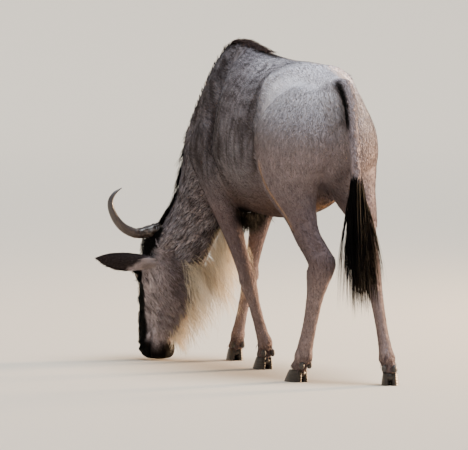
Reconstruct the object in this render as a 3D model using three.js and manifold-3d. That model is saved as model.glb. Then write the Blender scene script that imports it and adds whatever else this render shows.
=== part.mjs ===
// A blue wildebeest cow grazing, life size: she stands on four hooves, turns her head to her left
// and lowers it to the ground. Millimetres, +Z up, head towards -X, her left side towards -Y.
import * as THREE from "three";
import Module from "manifold-3d";
import { mergeVertices } from "three/addons/utils/BufferGeometryUtils.js";

const wasm = await Module();
wasm.setup();

const GAP = 0.3; // kept between neighbouring nodes
const UP = new THREE.Vector3(0, 0, 1);
const AHEAD = new THREE.Vector3(-1, 0, 0);
const REAR = new THREE.Vector3(1, 0, 0);
const GROUNDWARD = new THREE.Vector3(0, 0, -1);

// Driving sizes of the animal
const WITHERS_Z = 1240;
const CROUP_Z = 1160;
const CHEST_FLOOR_Z = 582;
const BARREL_HALF_WIDTH = 222;

// Coat and hair
const HAIR_SEED = 7;
const MANE_LENGTH = 96;
const WITHERS_HAIR = 58;
const BEARD_LENGTH = [180, 205, 76]; // at the chest, under the jaw's corner, and at the chin
const BRISKET_HAIR = 62;
const FORELOCK = 70;
const BRUSH_LENGTH = 40;
const TAIL_TIP_Z = [270, 430]; // the locks of the tuft end between these heights
const ROOT_DEPTH = 15;

// Small helpers

function vector(x, y, z) {
  return new THREE.Vector3(x, y, z);
}

// A repeatable random source, from 0 to 1.
function randomSource(seed) {
  let state = seed;
  return () => {
    state = (state * 1664525 + 1013904223) % 4294967296;
    return state / 4294967296;
  };
}

// Catmull-Rom value of a table of rows at a fractional row number.
function rowAt(rows, t) {
  const i = Math.min(Math.floor(t), rows.length - 2);
  const f = t - i;
  const pick = (k) => rows[Math.max(0, Math.min(rows.length - 1, k))];
  const [a, b, c, d] = [pick(i - 1), pick(i), pick(i + 1), pick(i + 2)];
  return b.map((_, k) => {
    const slopeIn = (c[k] - a[k]) / 2;
    const slopeOut = (d[k] - b[k]) / 2;
    const f2 = f * f;
    const f3 = f2 * f;
    return (
      (2 * f3 - 3 * f2 + 1) * b[k] +
      (f3 - 2 * f2 + f) * slopeIn +
      (3 * f2 - 2 * f3) * c[k] +
      (f3 - f2) * slopeOut
    );
  });
}

function manifoldOf(positions, triangles) {
  return new wasm.Manifold(
    new wasm.Mesh({
      numProp: 3,
      vertProperties: new Float32Array(positions),
      triVerts: new Uint32Array(triangles),
    }),
  );
}

// The solid of a closed three.js geometry.
function solidOf(geometry) {
  const plain = geometry.clone();
  plain.deleteAttribute("normal");
  plain.deleteAttribute("uv");
  const merged = mergeVertices(plain, 1e-3);
  return manifoldOf(merged.attributes.position.array, merged.index.array);
}

// A point of a ring across a path, and the ring's axes. A sample is [x, y, z, front, back, side,
// frontPower, backPower]: front, back and side are half sizes towards `ahead`, away from it and to
// either side, and the powers shape the ring: 2 is an ellipse, less is a ridge, more a box.
function ringPoint(sample, tangent, ahead, angle, grow = 0) {
  const front = ahead.clone().addScaledVector(tangent, -ahead.dot(tangent)).normalize();
  const across = tangent.clone().cross(front);
  const [x, y, z, frontHalf, backHalf, sideHalf, frontPower = 2, backPower = 2] = sample;
  const c = Math.cos(angle);
  const s = Math.sin(angle);
  const power = c > 0 ? frontPower : backPower;
  const reach = (c > 0 ? frontHalf : backHalf) + grow;
  const along = Math.sign(c) * Math.abs(c) ** (2 / power) * reach;
  const aside = Math.sign(s) * Math.abs(s) ** (2 / Math.max(power, 2)) * (sideHalf + grow);
  return vector(x, y, z).addScaledVector(front, along).addScaledVector(across, aside);
}

function tangentAt(rows, t) {
  const step = 0.75; // rows, so that the rings turn slowly through a bend
  const before = vector(...rowAt(rows, Math.max(0, t - step)));
  const after = vector(...rowAt(rows, Math.min(rows.length - 1, t + step)));
  return after.sub(before).normalize();
}

// A closed body through rings of points. The last ring may be a single point, the tip.
function bodyOf(rings) {
  const sides = rings[0].length;
  const points = rings.flat();
  const triangles = [];
  for (let i = 0; i < rings.length - 1; i++) {
    for (let k = 0; k < sides; k++) {
      const [a, b] = [i * sides + k, i * sides + ((k + 1) % sides)];
      if (rings[i + 1].length === 1) triangles.push(a, b, (i + 1) * sides);
      else triangles.push(a, b, b + sides, a, b + sides, a + sides);
    }
  }
  const cap = (first, turn) => {
    const pole = points.length;
    const ring = points.slice(first, first + sides);
    points.push(ring.reduce((sum, p) => sum.add(p), vector(0, 0, 0)).divideScalar(sides));
    for (let k = 0; k < sides; k++) {
      const [a, b] = [first + k, first + ((k + 1) % sides)];
      triangles.push(...(turn ? [pole, b, a] : [pole, a, b]));
    }
  };
  cap(0, true);
  if (rings.at(-1).length > 1) cap((rings.length - 1) * sides, false);
  let volume = 0;
  for (let i = 0; i < triangles.length; i += 3) {
    const [a, b, c] = triangles.slice(i, i + 3).map((n) => points[n]);
    volume += a.dot(b.clone().cross(c));
  }
  if (volume < 0) triangles.reverse();
  return manifoldOf(points.flatMap((p) => p.toArray()), triangles);
}

// A closed body carried along rows of samples, with flat ends.
function loft(rows, { sides, rings, ahead, grow = 0 }) {
  const bodyRings = [];
  for (let i = 0; i < rings; i++) {
    const t = (i / (rings - 1)) * (rows.length - 1);
    const tangent = tangentAt(rows, t);
    const shift = i === 0 ? -grow : i === rings - 1 ? grow : 0;
    const ring = [];
    for (let k = 0; k < sides; k++) {
      const angle = (2 * Math.PI * (k + 0.5)) / sides;
      const p = ringPoint(rowAt(rows, t), tangent, ahead, angle, grow);
      ring.push(p.addScaledVector(tangent, shift));
    }
    bodyRings.push(ring);
  }
  return bodyOf(bodyRings);
}

// A place on a loft's surface: its point, the way out of it, and the way along the path.
function surfaceAt(rows, { ahead }, t, angle) {
  const sample = rowAt(rows, t);
  const along = tangentAt(rows, t);
  const point = ringPoint(sample, along, ahead, angle);
  const turned = ringPoint(sample, along, ahead, angle + 0.05);
  const inside = vector(...sample);
  const out = turned.sub(point).normalize().cross(along);
  if (out.dot(point.clone().sub(inside)) < 0) out.negate();
  return { point, out: out.normalize(), along };
}

// An ellipsoid with half sizes, turned by Euler angles.
function ellipsoid(centre, half, turn = [0, 0, 0], detail = 14) {
  const geometry = new THREE.SphereGeometry(1, detail, Math.round(detail * 0.7));
  const matrix = new THREE.Matrix4().compose(
    centre,
    new THREE.Quaternion().setFromEuler(new THREE.Euler(...turn)),
    vector(...half),
  );
  return solidOf(geometry.applyMatrix4(matrix));
}

// A big block that holds everything on the side of a plane that `normal` points to.
function halfSpace(point, normal, offset = 0) {
  const size = 6000;
  const direction = normal.clone().normalize();
  const matrix = new THREE.Matrix4().compose(
    point.clone().addScaledVector(direction, size / 2 + offset),
    new THREE.Quaternion().setFromUnitVectors(UP, direction),
    vector(1, 1, 1),
  );
  return solidOf(new THREE.BoxGeometry(size, size, size).applyMatrix4(matrix));
}

// The largest closed surface of a solid.
function largest(solid) {
  return solid.decompose().sort((a, b) => b.volume() - a.volume())[0];
}

function union(solids) {
  return solids.reduce((sum, s) => sum.add(s));
}

function without(solid, cutters) {
  return cutters.reduce((rest, s) => rest.subtract(s), solid);
}

// One flat tapered lock of hair, on a curve from its sunk root past `bend` to its tip.
function lock({ root, bend, tip, across, width, thickness, steps = 3 }) {
  const curve = new THREE.QuadraticBezierCurve3(root, bend, tip);
  const rings = [];
  for (let i = 0; i < steps; i++) {
    const t = i / steps;
    const tangent = curve.getTangent(t);
    const wide = across.clone().addScaledVector(tangent, -across.dot(tangent)).normalize();
    const thick = tangent.clone().cross(wide);
    const taper = 1 - 0.72 * t ** 1.4;
    rings.push(
      [[-1, 0], [0, -1], [1, 0], [0, 1]].map(([w, h]) =>
        curve
          .getPoint(t)
          .addScaledVector(wide, (w * width * taper) / 2)
          .addScaledVector(thick, (h * thickness * taper) / 2),
      ),
    );
  }
  rings.push([tip]);
  return bodyOf(rings);
}

// A curtain of hair in one piece: it hangs from a line of roots to a line of tips.
function curtain(hangs, halfThickness) {
  return bodyOf(
    hangs.map(({ root, tip, across }) =>
      [[0, -1], [0.55, -0.8], [1, -0.2], [1, 0.2], [0.55, 0.8], [0, 1]].map(([t, side]) =>
        root.clone().lerp(tip, t).addScaledVector(across, side * halfThickness),
      ),
    ),
  );
}

// Trunk: rows of [x, y, z of the widest level, top, floor, half width, topPower, floorPower]

const TRUNK_ROWS = [
  [-742, -108, 880, 90, 70, 44, 2, 2],
  [-722, -102, 866, 208, 140, 86, 2, 2],
  [-670, -92, 848, 328, 225, 94, 2.1, 1.9],
  [-594, -68, 832, WITHERS_Z - 838, 270, 124, 1.95, 1.6],
  [-500, -38, 818, WITHERS_Z - 818, 248, 122, 1.75, 1.4],
  [-400, -16, 812, WITHERS_Z - 828, 812 - CHEST_FLOOR_Z, 192, 1.7, 0.95],
  [-280, -5, 815, 386, 240, BARREL_HALF_WIDTH, 1.95, 1.2],
  [-150, 0, 822, 364, 250, 228, 2, 1.6],
  [-20, 0, 828, 350, 246, 220, 2.1, 2.1],
  [80, 0, 845, 336, 236, 208, 2.6, 2.1],
  [200, 0, 885, CROUP_Z - 857, 215, 204, 2.9, 2],
  [310, 0, 925, CROUP_Z - 914, 190, 166, 2.3, 2],
  [395, 0, 945, 194, 150, 128, 2, 2],
  [450, 0, 950, 150, 114, 92, 2, 2],
  [486, 0, 952, 96, 76, 58, 2, 2],
  [500, 0, 952, 40, 34, 24, 2, 2],
];
const TRUNK = { sides: 22, rings: 22, ahead: UP };

function trunk(grow = 0) {
  return loft(TRUNK_ROWS, { ...TRUNK, grow });
}

function udder() {
  return ellipsoid(vector(232, -14, 682), [92, 56, 52], [0, 0, 0], 10);
}

// Legs: each posed chain of joints carries a shared table of girths
// A girth row is [place along the chain, front, back, side]. Whole places are the joints.

const HIND_GIRTHS = [
  [0, 70, 80, 44],
  [0.3, 128, 130, 80],
  [0.65, 168, 160, 112],
  [1, 188, 172, 128],
  [1.5, 178, 160, 122],
  [2, 148, 140, 104],
  [2.5, 116, 78, 78],
  [3, 76, 60, 54],
  [3.4, 68, 44, 43],
  [3.75, 56, 56, 38],
  [4, 60, 62, 36],
  [4.12, 66, 54, 34],
  [4.35, 43, 38, 28],
  [4.65, 30, 36, 25],
  [4.88, 32, 38, 27],
  [5, 34, 46, 31],
  [5.45, 29, 36, 29],
  [6, 35, 34, 33],
  [6.5, 35, 34, 33],
];
const FORE_GIRTHS = [
  [0, 60, 60, 38],
  [0.4, 98, 98, 62],
  [1, 112, 120, 86],
  [1.5, 96, 106, 80],
  [2, 72, 80, 57],
  [2.3, 52, 58, 44],
  [2.6, 40, 42, 35],
  [2.85, 35, 36, 32],
  [3, 37, 36, 35],
  [3.12, 33, 34, 32],
  [3.4, 26, 30, 26],
  [3.7, 25, 30, 25],
  [3.9, 28, 36, 27],
  [4, 31, 45, 30],
  [4.45, 28, 35, 28],
  [5, 35, 33, 32],
  [5.5, 35, 33, 32],
];

// Joints of each leg, from the body down to the top of the hoof. The last girth lies past it, for the
// level cut there.
const HIND_JOINTS = {
  left: [
    [330, -84, 1075],
    [318, -130, 900],
    [300, -134, 755],
    [352, -118, 610],
    [476, -92, 432],
    [378, -126, 100],
    [352, -136, 46],
  ],
  right: [
    [345, 38, 1075],
    [348, 44, 900],
    [346, 66, 755],
    [402, 98, 610],
    [540, 76, 432],
    [616, 106, 104],
    [626, 116, 46],
  ],
};
const FORE_JOINTS = {
  left: [
    [-520, -84, 1040],
    [-562, -124, 830],
    [-498, -107, 640],
    [-338, -66, 335],
    [-258, -30, 100],
    [-268, -28, 46],
  ],
  right: [
    [-530, 40, 1040],
    [-608, 98, 830],
    [-590, 100, 630],
    [-668, 72, 338],
    [-708, 36, 102],
    [-732, 34, 46],
  ],
};
const LEG_RINGS = 24;
const TOE_OUT = { hind: 22, fore: 8 }; // degrees that the feet turn outwards

// The direction that a foot points, level.
function toeDirection(pair, side) {
  const outward = side === "left" ? 1 : -1;
  return AHEAD.clone().applyAxisAngle(UP, THREE.MathUtils.degToRad(TOE_OUT[pair] * outward));
}

function legRows(joints, girths) {
  return girths.map(([place, front, back, side]) => {
    const i = Math.min(Math.floor(place), joints.length - 2);
    const at = joints[i].map((v, k) => v + (joints[i + 1][k] - v) * (place - i));
    return [...at, front, back, side];
  });
}

function legLoft(pair, side, grow = 0) {
  const joints = (pair === "hind" ? HIND_JOINTS : FORE_JOINTS)[side];
  const girths = pair === "hind" ? HIND_GIRTHS : FORE_GIRTHS;
  const rows = legRows(joints, girths);
  return loft(rows, { sides: 12, rings: LEG_RINGS, ahead: toeDirection(pair, side), grow });
}

// Hooves and dew claws

const CORONET_Z = 46;
const HOOF_LENGTH = 86;
const HOOF_HALF_WIDTH = 16;
const CLEFT = 3; // between the two toes at the ground
const DEWCLAW_Z = 63;

// One toe: level rings of a leaf outline, pointed ahead, that shrink and lean back upwards.
function hoofToe(centre, ahead, outward) {
  const across = UP.clone().cross(ahead).multiplyScalar(outward);
  const rows = [
    [0, 1, 1],
    [0.35, 0.93, 0.97],
    [0.75, 0.8, 0.9],
    [1.05, 0.66, 0.8],
  ];
  const sides = 10;
  const positions = [];
  const triangles = [];
  for (const [height, lengthScale, widthScale] of rows) {
    for (let k = 0; k < sides; k++) {
      const angle = (2 * Math.PI * k) / sides;
      const reach = Math.cos(angle) * (HOOF_LENGTH / 2) * lengthScale;
      const taper = 1 - 0.42 * Math.max(0, Math.cos(angle)) ** 2;
      const wide = Math.sin(angle) * HOOF_HALF_WIDTH * widthScale * taper;
      const p = centre
        .clone()
        .addScaledVector(ahead, reach - height * 12)
        .addScaledVector(across, wide + HOOF_HALF_WIDTH * 0.92 + CLEFT / 2 - height * 3);
      positions.push(p.x, p.y, height * CORONET_Z);
    }
  }
  const [bottom, top] = [rows.length * sides, rows.length * sides + 1];
  for (const row of [0, rows.length - 1]) {
    const ring = positions.slice(row * sides * 3, (row + 1) * sides * 3);
    const mean = (axis) => ring.filter((_, i) => i % 3 === axis).reduce((a, b) => a + b) / sides;
    positions.push(mean(0), mean(1), mean(2));
  }
  const turn = outward > 0 ? (a, b, c) => [a, b, c] : (a, b, c) => [a, c, b];
  for (let k = 0; k < sides; k++) {
    const next = (k + 1) % sides;
    triangles.push(...turn(bottom, next, k));
    triangles.push(...turn(top, (rows.length - 1) * sides + k, (rows.length - 1) * sides + next));
    for (let i = 0; i < rows.length - 1; i++) {
      const [a, b] = [i * sides + k, i * sides + next];
      triangles.push(...turn(a, b, b + sides), ...turn(a, b + sides, a + sides));
    }
  }
  return manifoldOf(positions, triangles);
}

// Both toes, joined above the cleft by the bulb of the heel, cut level under the pastern.
function hoof(pair, side) {
  const joints = (pair === "hind" ? HIND_JOINTS : FORE_JOINTS)[side];
  const ahead = toeDirection(pair, side);
  const centre = vector(joints.at(-1)[0], joints.at(-1)[1], 0).addScaledVector(ahead, 12);
  const bulb = ellipsoid(
    centre.clone().addScaledVector(ahead, -16).setZ(34),
    [30, 27, 20],
    [0, 0, Math.atan2(ahead.y, ahead.x)],
    9,
  );
  const toes = [1, -1].map((outward) => hoofToe(centre, ahead, outward));
  return union([...toes, bulb]).intersect(halfSpace(vector(0, 0, CORONET_Z - GAP), GROUNDWARD));
}

// The two small claws behind a fetlock, each sunk in the leg.
function dewclaw(pair, side, outward, grow = 0) {
  const joints = (pair === "hind" ? HIND_JOINTS : FORE_JOINTS)[side];
  const ahead = toeDirection(pair, side);
  const across = UP.clone().cross(ahead).multiplyScalar(outward);
  const [high, low] = joints.slice(-2).map((joint) => vector(...joint));
  const share = (DEWCLAW_Z - low.z) / (high.z - low.z);
  const centre = low
    .lerp(high, share)
    .addScaledVector(ahead, -29)
    .addScaledVector(across, 17);
  const half = [12 + grow, 10.5 + grow, 15 + grow];
  return ellipsoid(centre, half, [0, 0, Math.atan2(ahead.y, ahead.x)], 7);
}

// Neck: rows along the path from inside the shoulders to the skull

const NECK_ROWS = [
  [-520, -40, 930, 190, 190, 120, 1.7, 2],
  [-612, -66, 815, 172, 176, 128, 1.7, 2],
  [-674, -98, 694, 128, 154, 106, 1.7, 2],
  [-728, -136, 585, 90, 140, 88, 1.7, 2],
  [-778, -176, 492, 84, 148, 78, 1.8, 2],
  [-812, -210, 420, 80, 160, 74, 1.9, 2],
];
const NECK = { sides: 18, rings: 11, ahead: UP };
const NECK_CUT = { point: vector(-648, -66, 780), normal: vector(-0.52, -0.3, -0.8) };
const POLL_CUT = { point: vector(-806, -196, 448), normal: vector(-0.42, -0.36, -0.83) };

// Head frame: `face` looks out of the forehead, `down` runs from the poll to the muzzle, and `left`
// is her left

const HEAD_YAW = 29; // degrees that the head turns to her left
const HEAD_TILT = 4.3; // degrees that the muzzle swings ahead of straight down
const POLL = vector(-846, -228, 506);
const heading = AHEAD.clone().applyAxisAngle(UP, THREE.MathUtils.degToRad(HEAD_YAW));
const LEFT = heading.clone().applyAxisAngle(UP, Math.PI / 2);
const FACE = heading.clone().applyAxisAngle(LEFT, THREE.MathUtils.degToRad(-HEAD_TILT));
const DOWN = FACE.clone().cross(LEFT).multiplyScalar(-1).normalize();

// A point of the head: left of the middle, ahead of the face's axis, and down from the poll.
function headPoint(left, face, down) {
  return POLL.clone()
    .addScaledVector(LEFT, left)
    .addScaledVector(FACE, face)
    .addScaledVector(DOWN, down);
}

// Rows of [down, ahead of the axis, behind it, half width, facePower, jawPower]
const HEAD_TABLE = [
  [-16, 14, 20, 20, 2, 2],
  [0, 38, 52, 50, 2.2, 2],
  [40, 54, 86, 66, 2.4, 2],
  [90, 61, 112, 74, 2.5, 2],
  [140, 65, 146, 77, 2.5, 2],
  [190, 68, 166, 74, 2.5, 1.9],
  [240, 70, 166, 67, 2.5, 1.9],
  [300, 71, 145, 58, 2.5, 1.9],
  [360, 67, 112, 53, 2.5, 2],
  [410, 61, 90, 54, 2.6, 2.1],
  [456, 55, 88, 61, 2.6, 2.2],
  [486, 42, 78, 57, 2.4, 2.2],
  [500, 20, 50, 40, 2.2, 2],
];
const HEAD_ROWS = HEAD_TABLE.map(([down, ahead, behind, half, p, q]) => [
  ...headPoint(0, 0, down).toArray(),
  ahead,
  behind,
  half,
  p,
  q,
]);
const HEAD = { sides: 18, rings: 20, ahead: FACE };

const EYE = { left: 67, face: 33, down: 176, radius: 20 };
const ORBIT = { left: 55, face: 24, down: 174, half: [28, 37, 38] };
const MOUTH = { face: -22, from: 402, width: 2.4 };
const NOSTRIL = { left: 40, face: 34, down: 456 };

// Euler angles that turn x, y and z to the head's left, face and down.
const HEAD_TURN = new THREE.Euler()
  .setFromRotationMatrix(new THREE.Matrix4().makeBasis(LEFT, FACE, DOWN))
  .toArray()
  .slice(0, 3);

// The bony bulge round the eye
function orbit(sign) {
  return ellipsoid(headPoint(sign * ORBIT.left, ORBIT.face, ORBIT.down), ORBIT.half, HEAD_TURN, 10);
}

function eyeCentre(sign) {
  return headPoint(sign * EYE.left, EYE.face, EYE.down);
}

function eyeball(sign, grow = 0) {
  const r = EYE.radius + grow;
  return ellipsoid(eyeCentre(sign), [r, r, r], [0, 0, 0], 9);
}

// A rim of lid round the eye, which leaves a slanted almond open.
function lids(sign) {
  const outward = LEFT.clone().multiplyScalar(sign).addScaledVector(FACE, 0.25).normalize();
  const ring = new THREE.TorusGeometry(EYE.radius * 0.92, 5.5, 5, 10);
  const basis = new THREE.Matrix4().makeBasis(
    DOWN,
    outward.clone().cross(DOWN).normalize(),
    outward,
  );
  ring.applyMatrix4(new THREE.Matrix4().makeScale(1.08, 0.78, 1));
  ring.applyMatrix4(basis);
  const place = eyeCentre(sign).addScaledVector(outward, 8);
  ring.translate(place.x, place.y, place.z);
  return solidOf(ring);
}

// The slit between the lips, from the front of the muzzle back to the corner of the mouth.
function mouthSlit() {
  const depth = 130;
  const slab = new THREE.BoxGeometry(160, MOUTH.width, depth);
  slab.applyMatrix4(new THREE.Matrix4().makeBasis(LEFT, FACE, DOWN));
  const place = headPoint(0, MOUTH.face, MOUTH.from + depth / 2);
  slab.translate(place.x, place.y, place.z);
  return solidOf(slab);
}

function nostril(sign) {
  const centre = headPoint(sign * NOSTRIL.left, NOSTRIL.face, NOSTRIL.down);
  return ellipsoid(centre, [14, 9, 15], HEAD_TURN, 8);
}

// Horns: rows of [left, face, up, radius], out, ahead and then up and in

const HORN_TABLE = [
  [14, -6, 2, 27],
  [40, 6, -4, 25],
  [105, 28, -15, 20],
  [140, 42, -6, 19],
  [170, 55, 12, 17.5],
  [196, 67, 42, 15.5],
  [214, 76, 80, 13],
  [217, 78, 112, 10.5],
  [202, 72, 140, 7],
  [176, 61, 160, 2],
];

function horn(sign, grow = 0) {
  const rows = HORN_TABLE.map(([left, face, up, radius]) => [
    ...headPoint(sign * left, face, -up).toArray(),
    radius,
    radius,
    radius,
  ]);
  return loft(rows, { sides: 9, rings: 15, ahead: FACE, grow });
}

// Ears: a leaf with a cup in its lower face

const EAR_ROOT = { left: 60, face: -18, down: 118 };
const EAR_TIP = { left: 220, face: 141, down: 128 };
const EAR_TABLE = [
  [0, 22, 13],
  [0.12, 25, 12],
  [0.3, 33, 11],
  [0.5, 36, 10],
  [0.7, 31, 8.5],
  [0.86, 20, 6.5],
  [0.96, 10, 4],
  [1, 3, 2],
];

// The leaf or, scaled and moved towards the opening, the hollow that is cut from it.
function earLoft(sign, { scale = 1, from = 0, lift = 0, grow = 0 } = {}) {
  const root = headPoint(sign * EAR_ROOT.left, EAR_ROOT.face, EAR_ROOT.down);
  const tip = headPoint(sign * EAR_TIP.left, EAR_TIP.face, EAR_TIP.down);
  const opening = FACE.clone().addScaledVector(LEFT, -sign).normalize();
  const rows = EAR_TABLE.filter(([t]) => t >= from).map(([t, wide, thick]) => {
    const p = root.clone().lerp(tip, t * (from > 0 ? 0.93 : 1) + from * 0.02);
    p.addScaledVector(opening, lift - 16 * Math.sin(Math.PI * t));
    return [...p.toArray(), wide * scale, wide * scale, thick * scale];
  });
  return loft(rows, { sides: 8, rings: 9, ahead: DOWN, grow });
}

function ear(sign) {
  return earLoft(sign).subtract(earLoft(sign, { scale: 0.82, from: 0.12, lift: 8 }));
}

// Tail: a dock that hangs behind the buttocks and a tuft of long locks

const TAIL_ROWS = [
  [415, 2, 1085, 34, 34, 34],
  [468, 2, 1078, 30, 30, 32],
  [514, 1, 1034, 25, 25, 29],
  [546, -2, 950, 21, 21, 26],
  [574, -5, 860, 18, 18, 24],
  [592, -5, 770, 17, 17, 23],
  [602, -1, 690, 17, 17, 24],
];
const TUFT_ROWS = [
  [600, -2, 720, 18, 18, 25],
  [608, 4, 650, 24, 24, 32],
  [614, 9, 570, 24, 24, 34],
  [620, 14, 490, 12, 12, 18],
];
const TAIL = { sides: 10, rings: 10, ahead: vector(1, 0, 0.4).normalize() };
const TUFT = { sides: 9, rings: 7, ahead: REAR };
const TUFT_CUT = { point: vector(600, -2, 704), normal: vector(0.1, 0.05, -1) };

// Hair: places along a crest, a throat or a jaw, each with its point, the way out, and the way along

function spread(count, from, to, place) {
  return Array.from({ length: count }, (_, i) => place(from + ((to - from) * i) / (count - 1)));
}

// The low core of a mane, in one piece on a crest.
function maneCore(places, height, halfThickness) {
  return curtain(
    places.map(({ point, out, along }, i) => {
      const rise = Math.sin((Math.PI * (i + 0.5)) / places.length) ** 0.35;
      return {
        root: point.clone().addScaledVector(out, -24),
        tip: point.clone().addScaledVector(out, height * rise),
        across: along.clone().cross(out).normalize(),
      };
    }),
    halfThickness,
  );
}

// The core of a beard, in one piece under a throat or a jaw. It ends half way to the tips.
function beardCore(places, fall, length, halfThickness) {
  return curtain(
    places.map(({ point, out, along }, i) => {
      const share = i / (places.length - 1);
      return {
        root: point.clone().addScaledVector(out, -26),
        tip: point.clone().addScaledVector(fall(share), 0.5 * length(share)),
        across: along.clone().cross(out).normalize(),
      };
    }),
    halfThickness,
  );
}

// Where a lock's points lie: so far out of the surface, to the side, and along the row of places.
function offset({ point, out, along }, outward, aside, onward) {
  const across = along.clone().cross(out).normalize();
  return point
    .clone()
    .addScaledVector(out, outward)
    .addScaledVector(across, aside)
    .addScaledVector(along, onward);
}

// Pairs of locks on a crest, which rise, part to both sides and lie down along the neck.
function crestLocks(places, length, random) {
  return places.flatMap((place) =>
    [-1, 1].map((side) => {
      const size = length * (0.78 + 0.44 * random());
      const spread = side * size * (0.34 + 0.2 * random());
      const onward = size * (0.5 + 0.2 * random());
      return lock({
        root: offset(place, -ROOT_DEPTH, side * 3, -4),
        bend: offset(place, 0.3 * size, spread * 0.42, onward * 0.25),
        tip: offset(place, -0.02 * size, spread, onward),
        across: place.along,
        width: 0.4 * size + 8 * random(),
        thickness: 11,
      });
    }),
  );
}

// Locks of a beard, in two rows, which hang from a throat or a jaw.
function beardLocks(places, fall, length, random) {
  return places.flatMap((place, i) =>
    [-1, 1].map((side) => {
      const share = i / (places.length - 1);
      const size = length(share) * (0.86 + 0.22 * random());
      const root = offset(place, -ROOT_DEPTH, side * 11, 0);
      const across = offset(place, 0, 1, 0).sub(place.point);
      const tip = place.point
        .clone()
        .addScaledVector(fall(share), size)
        .addScaledVector(across, side * (4 + 20 * random()))
        .addScaledVector(place.along, 14 * (random() - 0.5));
      const bend = offset(place, size * 0.4, side * 20, 0).addScaledVector(fall(share), size * 0.16);
      return lock({ root, bend, tip, across: place.along, width: 36 + 8 * random(), thickness: 12 });
    }),
  );
}

// Locks of the tail tuft all round its core, in turns of the golden angle.
function tuftLocks(count, random) {
  const locks = [];
  for (let i = 0; i < count; i++) {
    const t = 0.3 + (2.4 * i) / count;
    const angle = i * 2.39996;
    const { point, out } = surfaceAt(TUFT_ROWS, TUFT, t, angle);
    const tipZ = TAIL_TIP_Z[0] + (TAIL_TIP_Z[1] - TAIL_TIP_Z[0]) * random() ** 1.5;
    const drop = point.z - tipZ;
    const flare = 14 + 34 * random();
    const swing = vector(0.08, 0.1, -1).multiplyScalar(drop);
    const level = vector(Math.max(out.x, -0.25), out.y, 0);
    locks.push(
      lock({
        root: point.clone().addScaledVector(out, -12),
        bend: point.clone().addScaledVector(level, 0.7 * flare).addScaledVector(swing, 0.45),
        tip: point.clone().addScaledVector(level, flare).add(swing),
        across: UP.clone().cross(out).normalize(),
        width: 30 + 10 * random(),
        thickness: 11,
        steps: 4,
      }),
    );
  }
  return locks;
}

const withersCrest = (t) => surfaceAt(TRUNK_ROWS, TRUNK, t, 0);
const neckCrest = (t) => surfaceAt(NECK_ROWS, NECK, t, 0);
const throat = (t) => surfaceAt(NECK_ROWS, NECK, t, Math.PI);
const jaw = (t) => surfaceAt(HEAD_ROWS, HEAD, t, Math.PI);
const forehead = (t) => surfaceAt(HEAD_ROWS, HEAD, t, 0);
const brisket = (t) => surfaceAt(TRUNK_ROWS, TRUNK, t, Math.PI);

// The beard hangs down and swings back towards the chest, most of all under the jaw's corner.
// Share runs from 0 at the chest to 1 at the chin.
const REARWARD = heading.clone().negate();
const BEARD_SWING = [0.33, 0.42];
const THROAT_SHARE = 0.5; // of the beard is on the neck, and the rest on the head
const onNeck = (share) => share * THROAT_SHARE;
const onHead = (share) => THROAT_SHARE + share * (1 - THROAT_SHARE);
function beardLength(share) {
  const [chest, middle, chin] = BEARD_LENGTH;
  return share < THROAT_SHARE
    ? THREE.MathUtils.lerp(chest, middle, share / THROAT_SHARE)
    : THREE.MathUtils.lerp(middle, chin, (share - THROAT_SHARE) / (1 - THROAT_SHARE));
}
function beardFall(share) {
  const swing = BEARD_SWING[0] + BEARD_SWING[1] * Math.sin(Math.PI * share);
  return vector(0, 0, -1).addScaledVector(REARWARD, swing).normalize();
}

// The beard of the head hangs ahead of this plane, and the beard of the neck behind it.
const MIDDLE_FALL = beardFall(THROAT_SHARE);
const BEARD_CUT = {
  point: throat(4.6).point,
  normal: heading.clone().addScaledVector(MIDDLE_FALL, -heading.dot(MIDDLE_FALL)).normalize(),
};

// Solids, parted by planes and sockets

const ahead = (cut, offset = 0) => halfSpace(cut.point, cut.normal, offset);
const behind = (cut, offset = 0) => halfSpace(cut.point, cut.normal.clone().negate(), offset);

// The hind legs part from the rump on a slanted plane, the forelegs from the shoulders on a level one.
const HIND_CUT = { point: vector(310, 0, 720), normal: vector(0.53, 0, -0.85) };
const FORE_CUT = { point: vector(-560, 0, 690), normal: GROUNDWARD };
const LEG_CUTS = { hind: HIND_CUT, fore: FORE_CUT };
const CORONET = { point: vector(0, 0, CORONET_Z), normal: GROUNDWARD };
const THIGH_MIDLINE = { left: vector(0, -12 - GAP / 2, 0), right: vector(0, -12 + GAP / 2, 0) };

const LEGS = ["hind", "fore"].flatMap((pair) => ["left", "right"].map((side) => [pair, side]));

// A leg below its cut, and above the hoof. Grown, it is the socket in what it meets.
function legBelow(pair, side, grow = 0) {
  const shape = legLoft(pair, side, grow)
    .intersect(ahead(LEG_CUTS[pair], GAP - grow))
    .intersect(behind(CORONET));
  if (pair === "fore") return shape;
  const outward = vector(0, side === "left" ? -1 : 1, 0);
  return shape.intersect(halfSpace(THIGH_MIDLINE[side], outward, -grow));
}

function dewclaws(pair, side, grow = 0) {
  return [1, -1].map((outward) => dewclaw(pair, side, outward, grow));
}

function torsoFlesh() {
  const legTops = LEGS.map(([pair, side]) => legLoft(pair, side).intersect(behind(LEG_CUTS[pair])));
  const neckRoot = loft(NECK_ROWS, NECK).intersect(behind(NECK_CUT));
  return union([trunk(), udder(), neckRoot, ...legTops]);
}

function torso() {
  const random = randomSource(HAIR_SEED);
  const mane = union([
    maneCore(spread(6, 1.8, 4.7, withersCrest), 10, 12),
    ...crestLocks(spread(6, 1.75, 4.8, withersCrest), WITHERS_HAIR, random),
  ]).intersect(behind(NECK_CUT));
  const chest = crestLocks(spread(3, 3.75, 5.1, brisket), BRISKET_HAIR, random);
  const sockets = [
    ...LEGS.map(([pair, side]) => legBelow(pair, side, GAP)),
    loft(TAIL_ROWS, { ...TAIL, grow: GAP }),
  ];
  return without(union([torsoFlesh(), mane, ...chest]), sockets);
}

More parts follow.
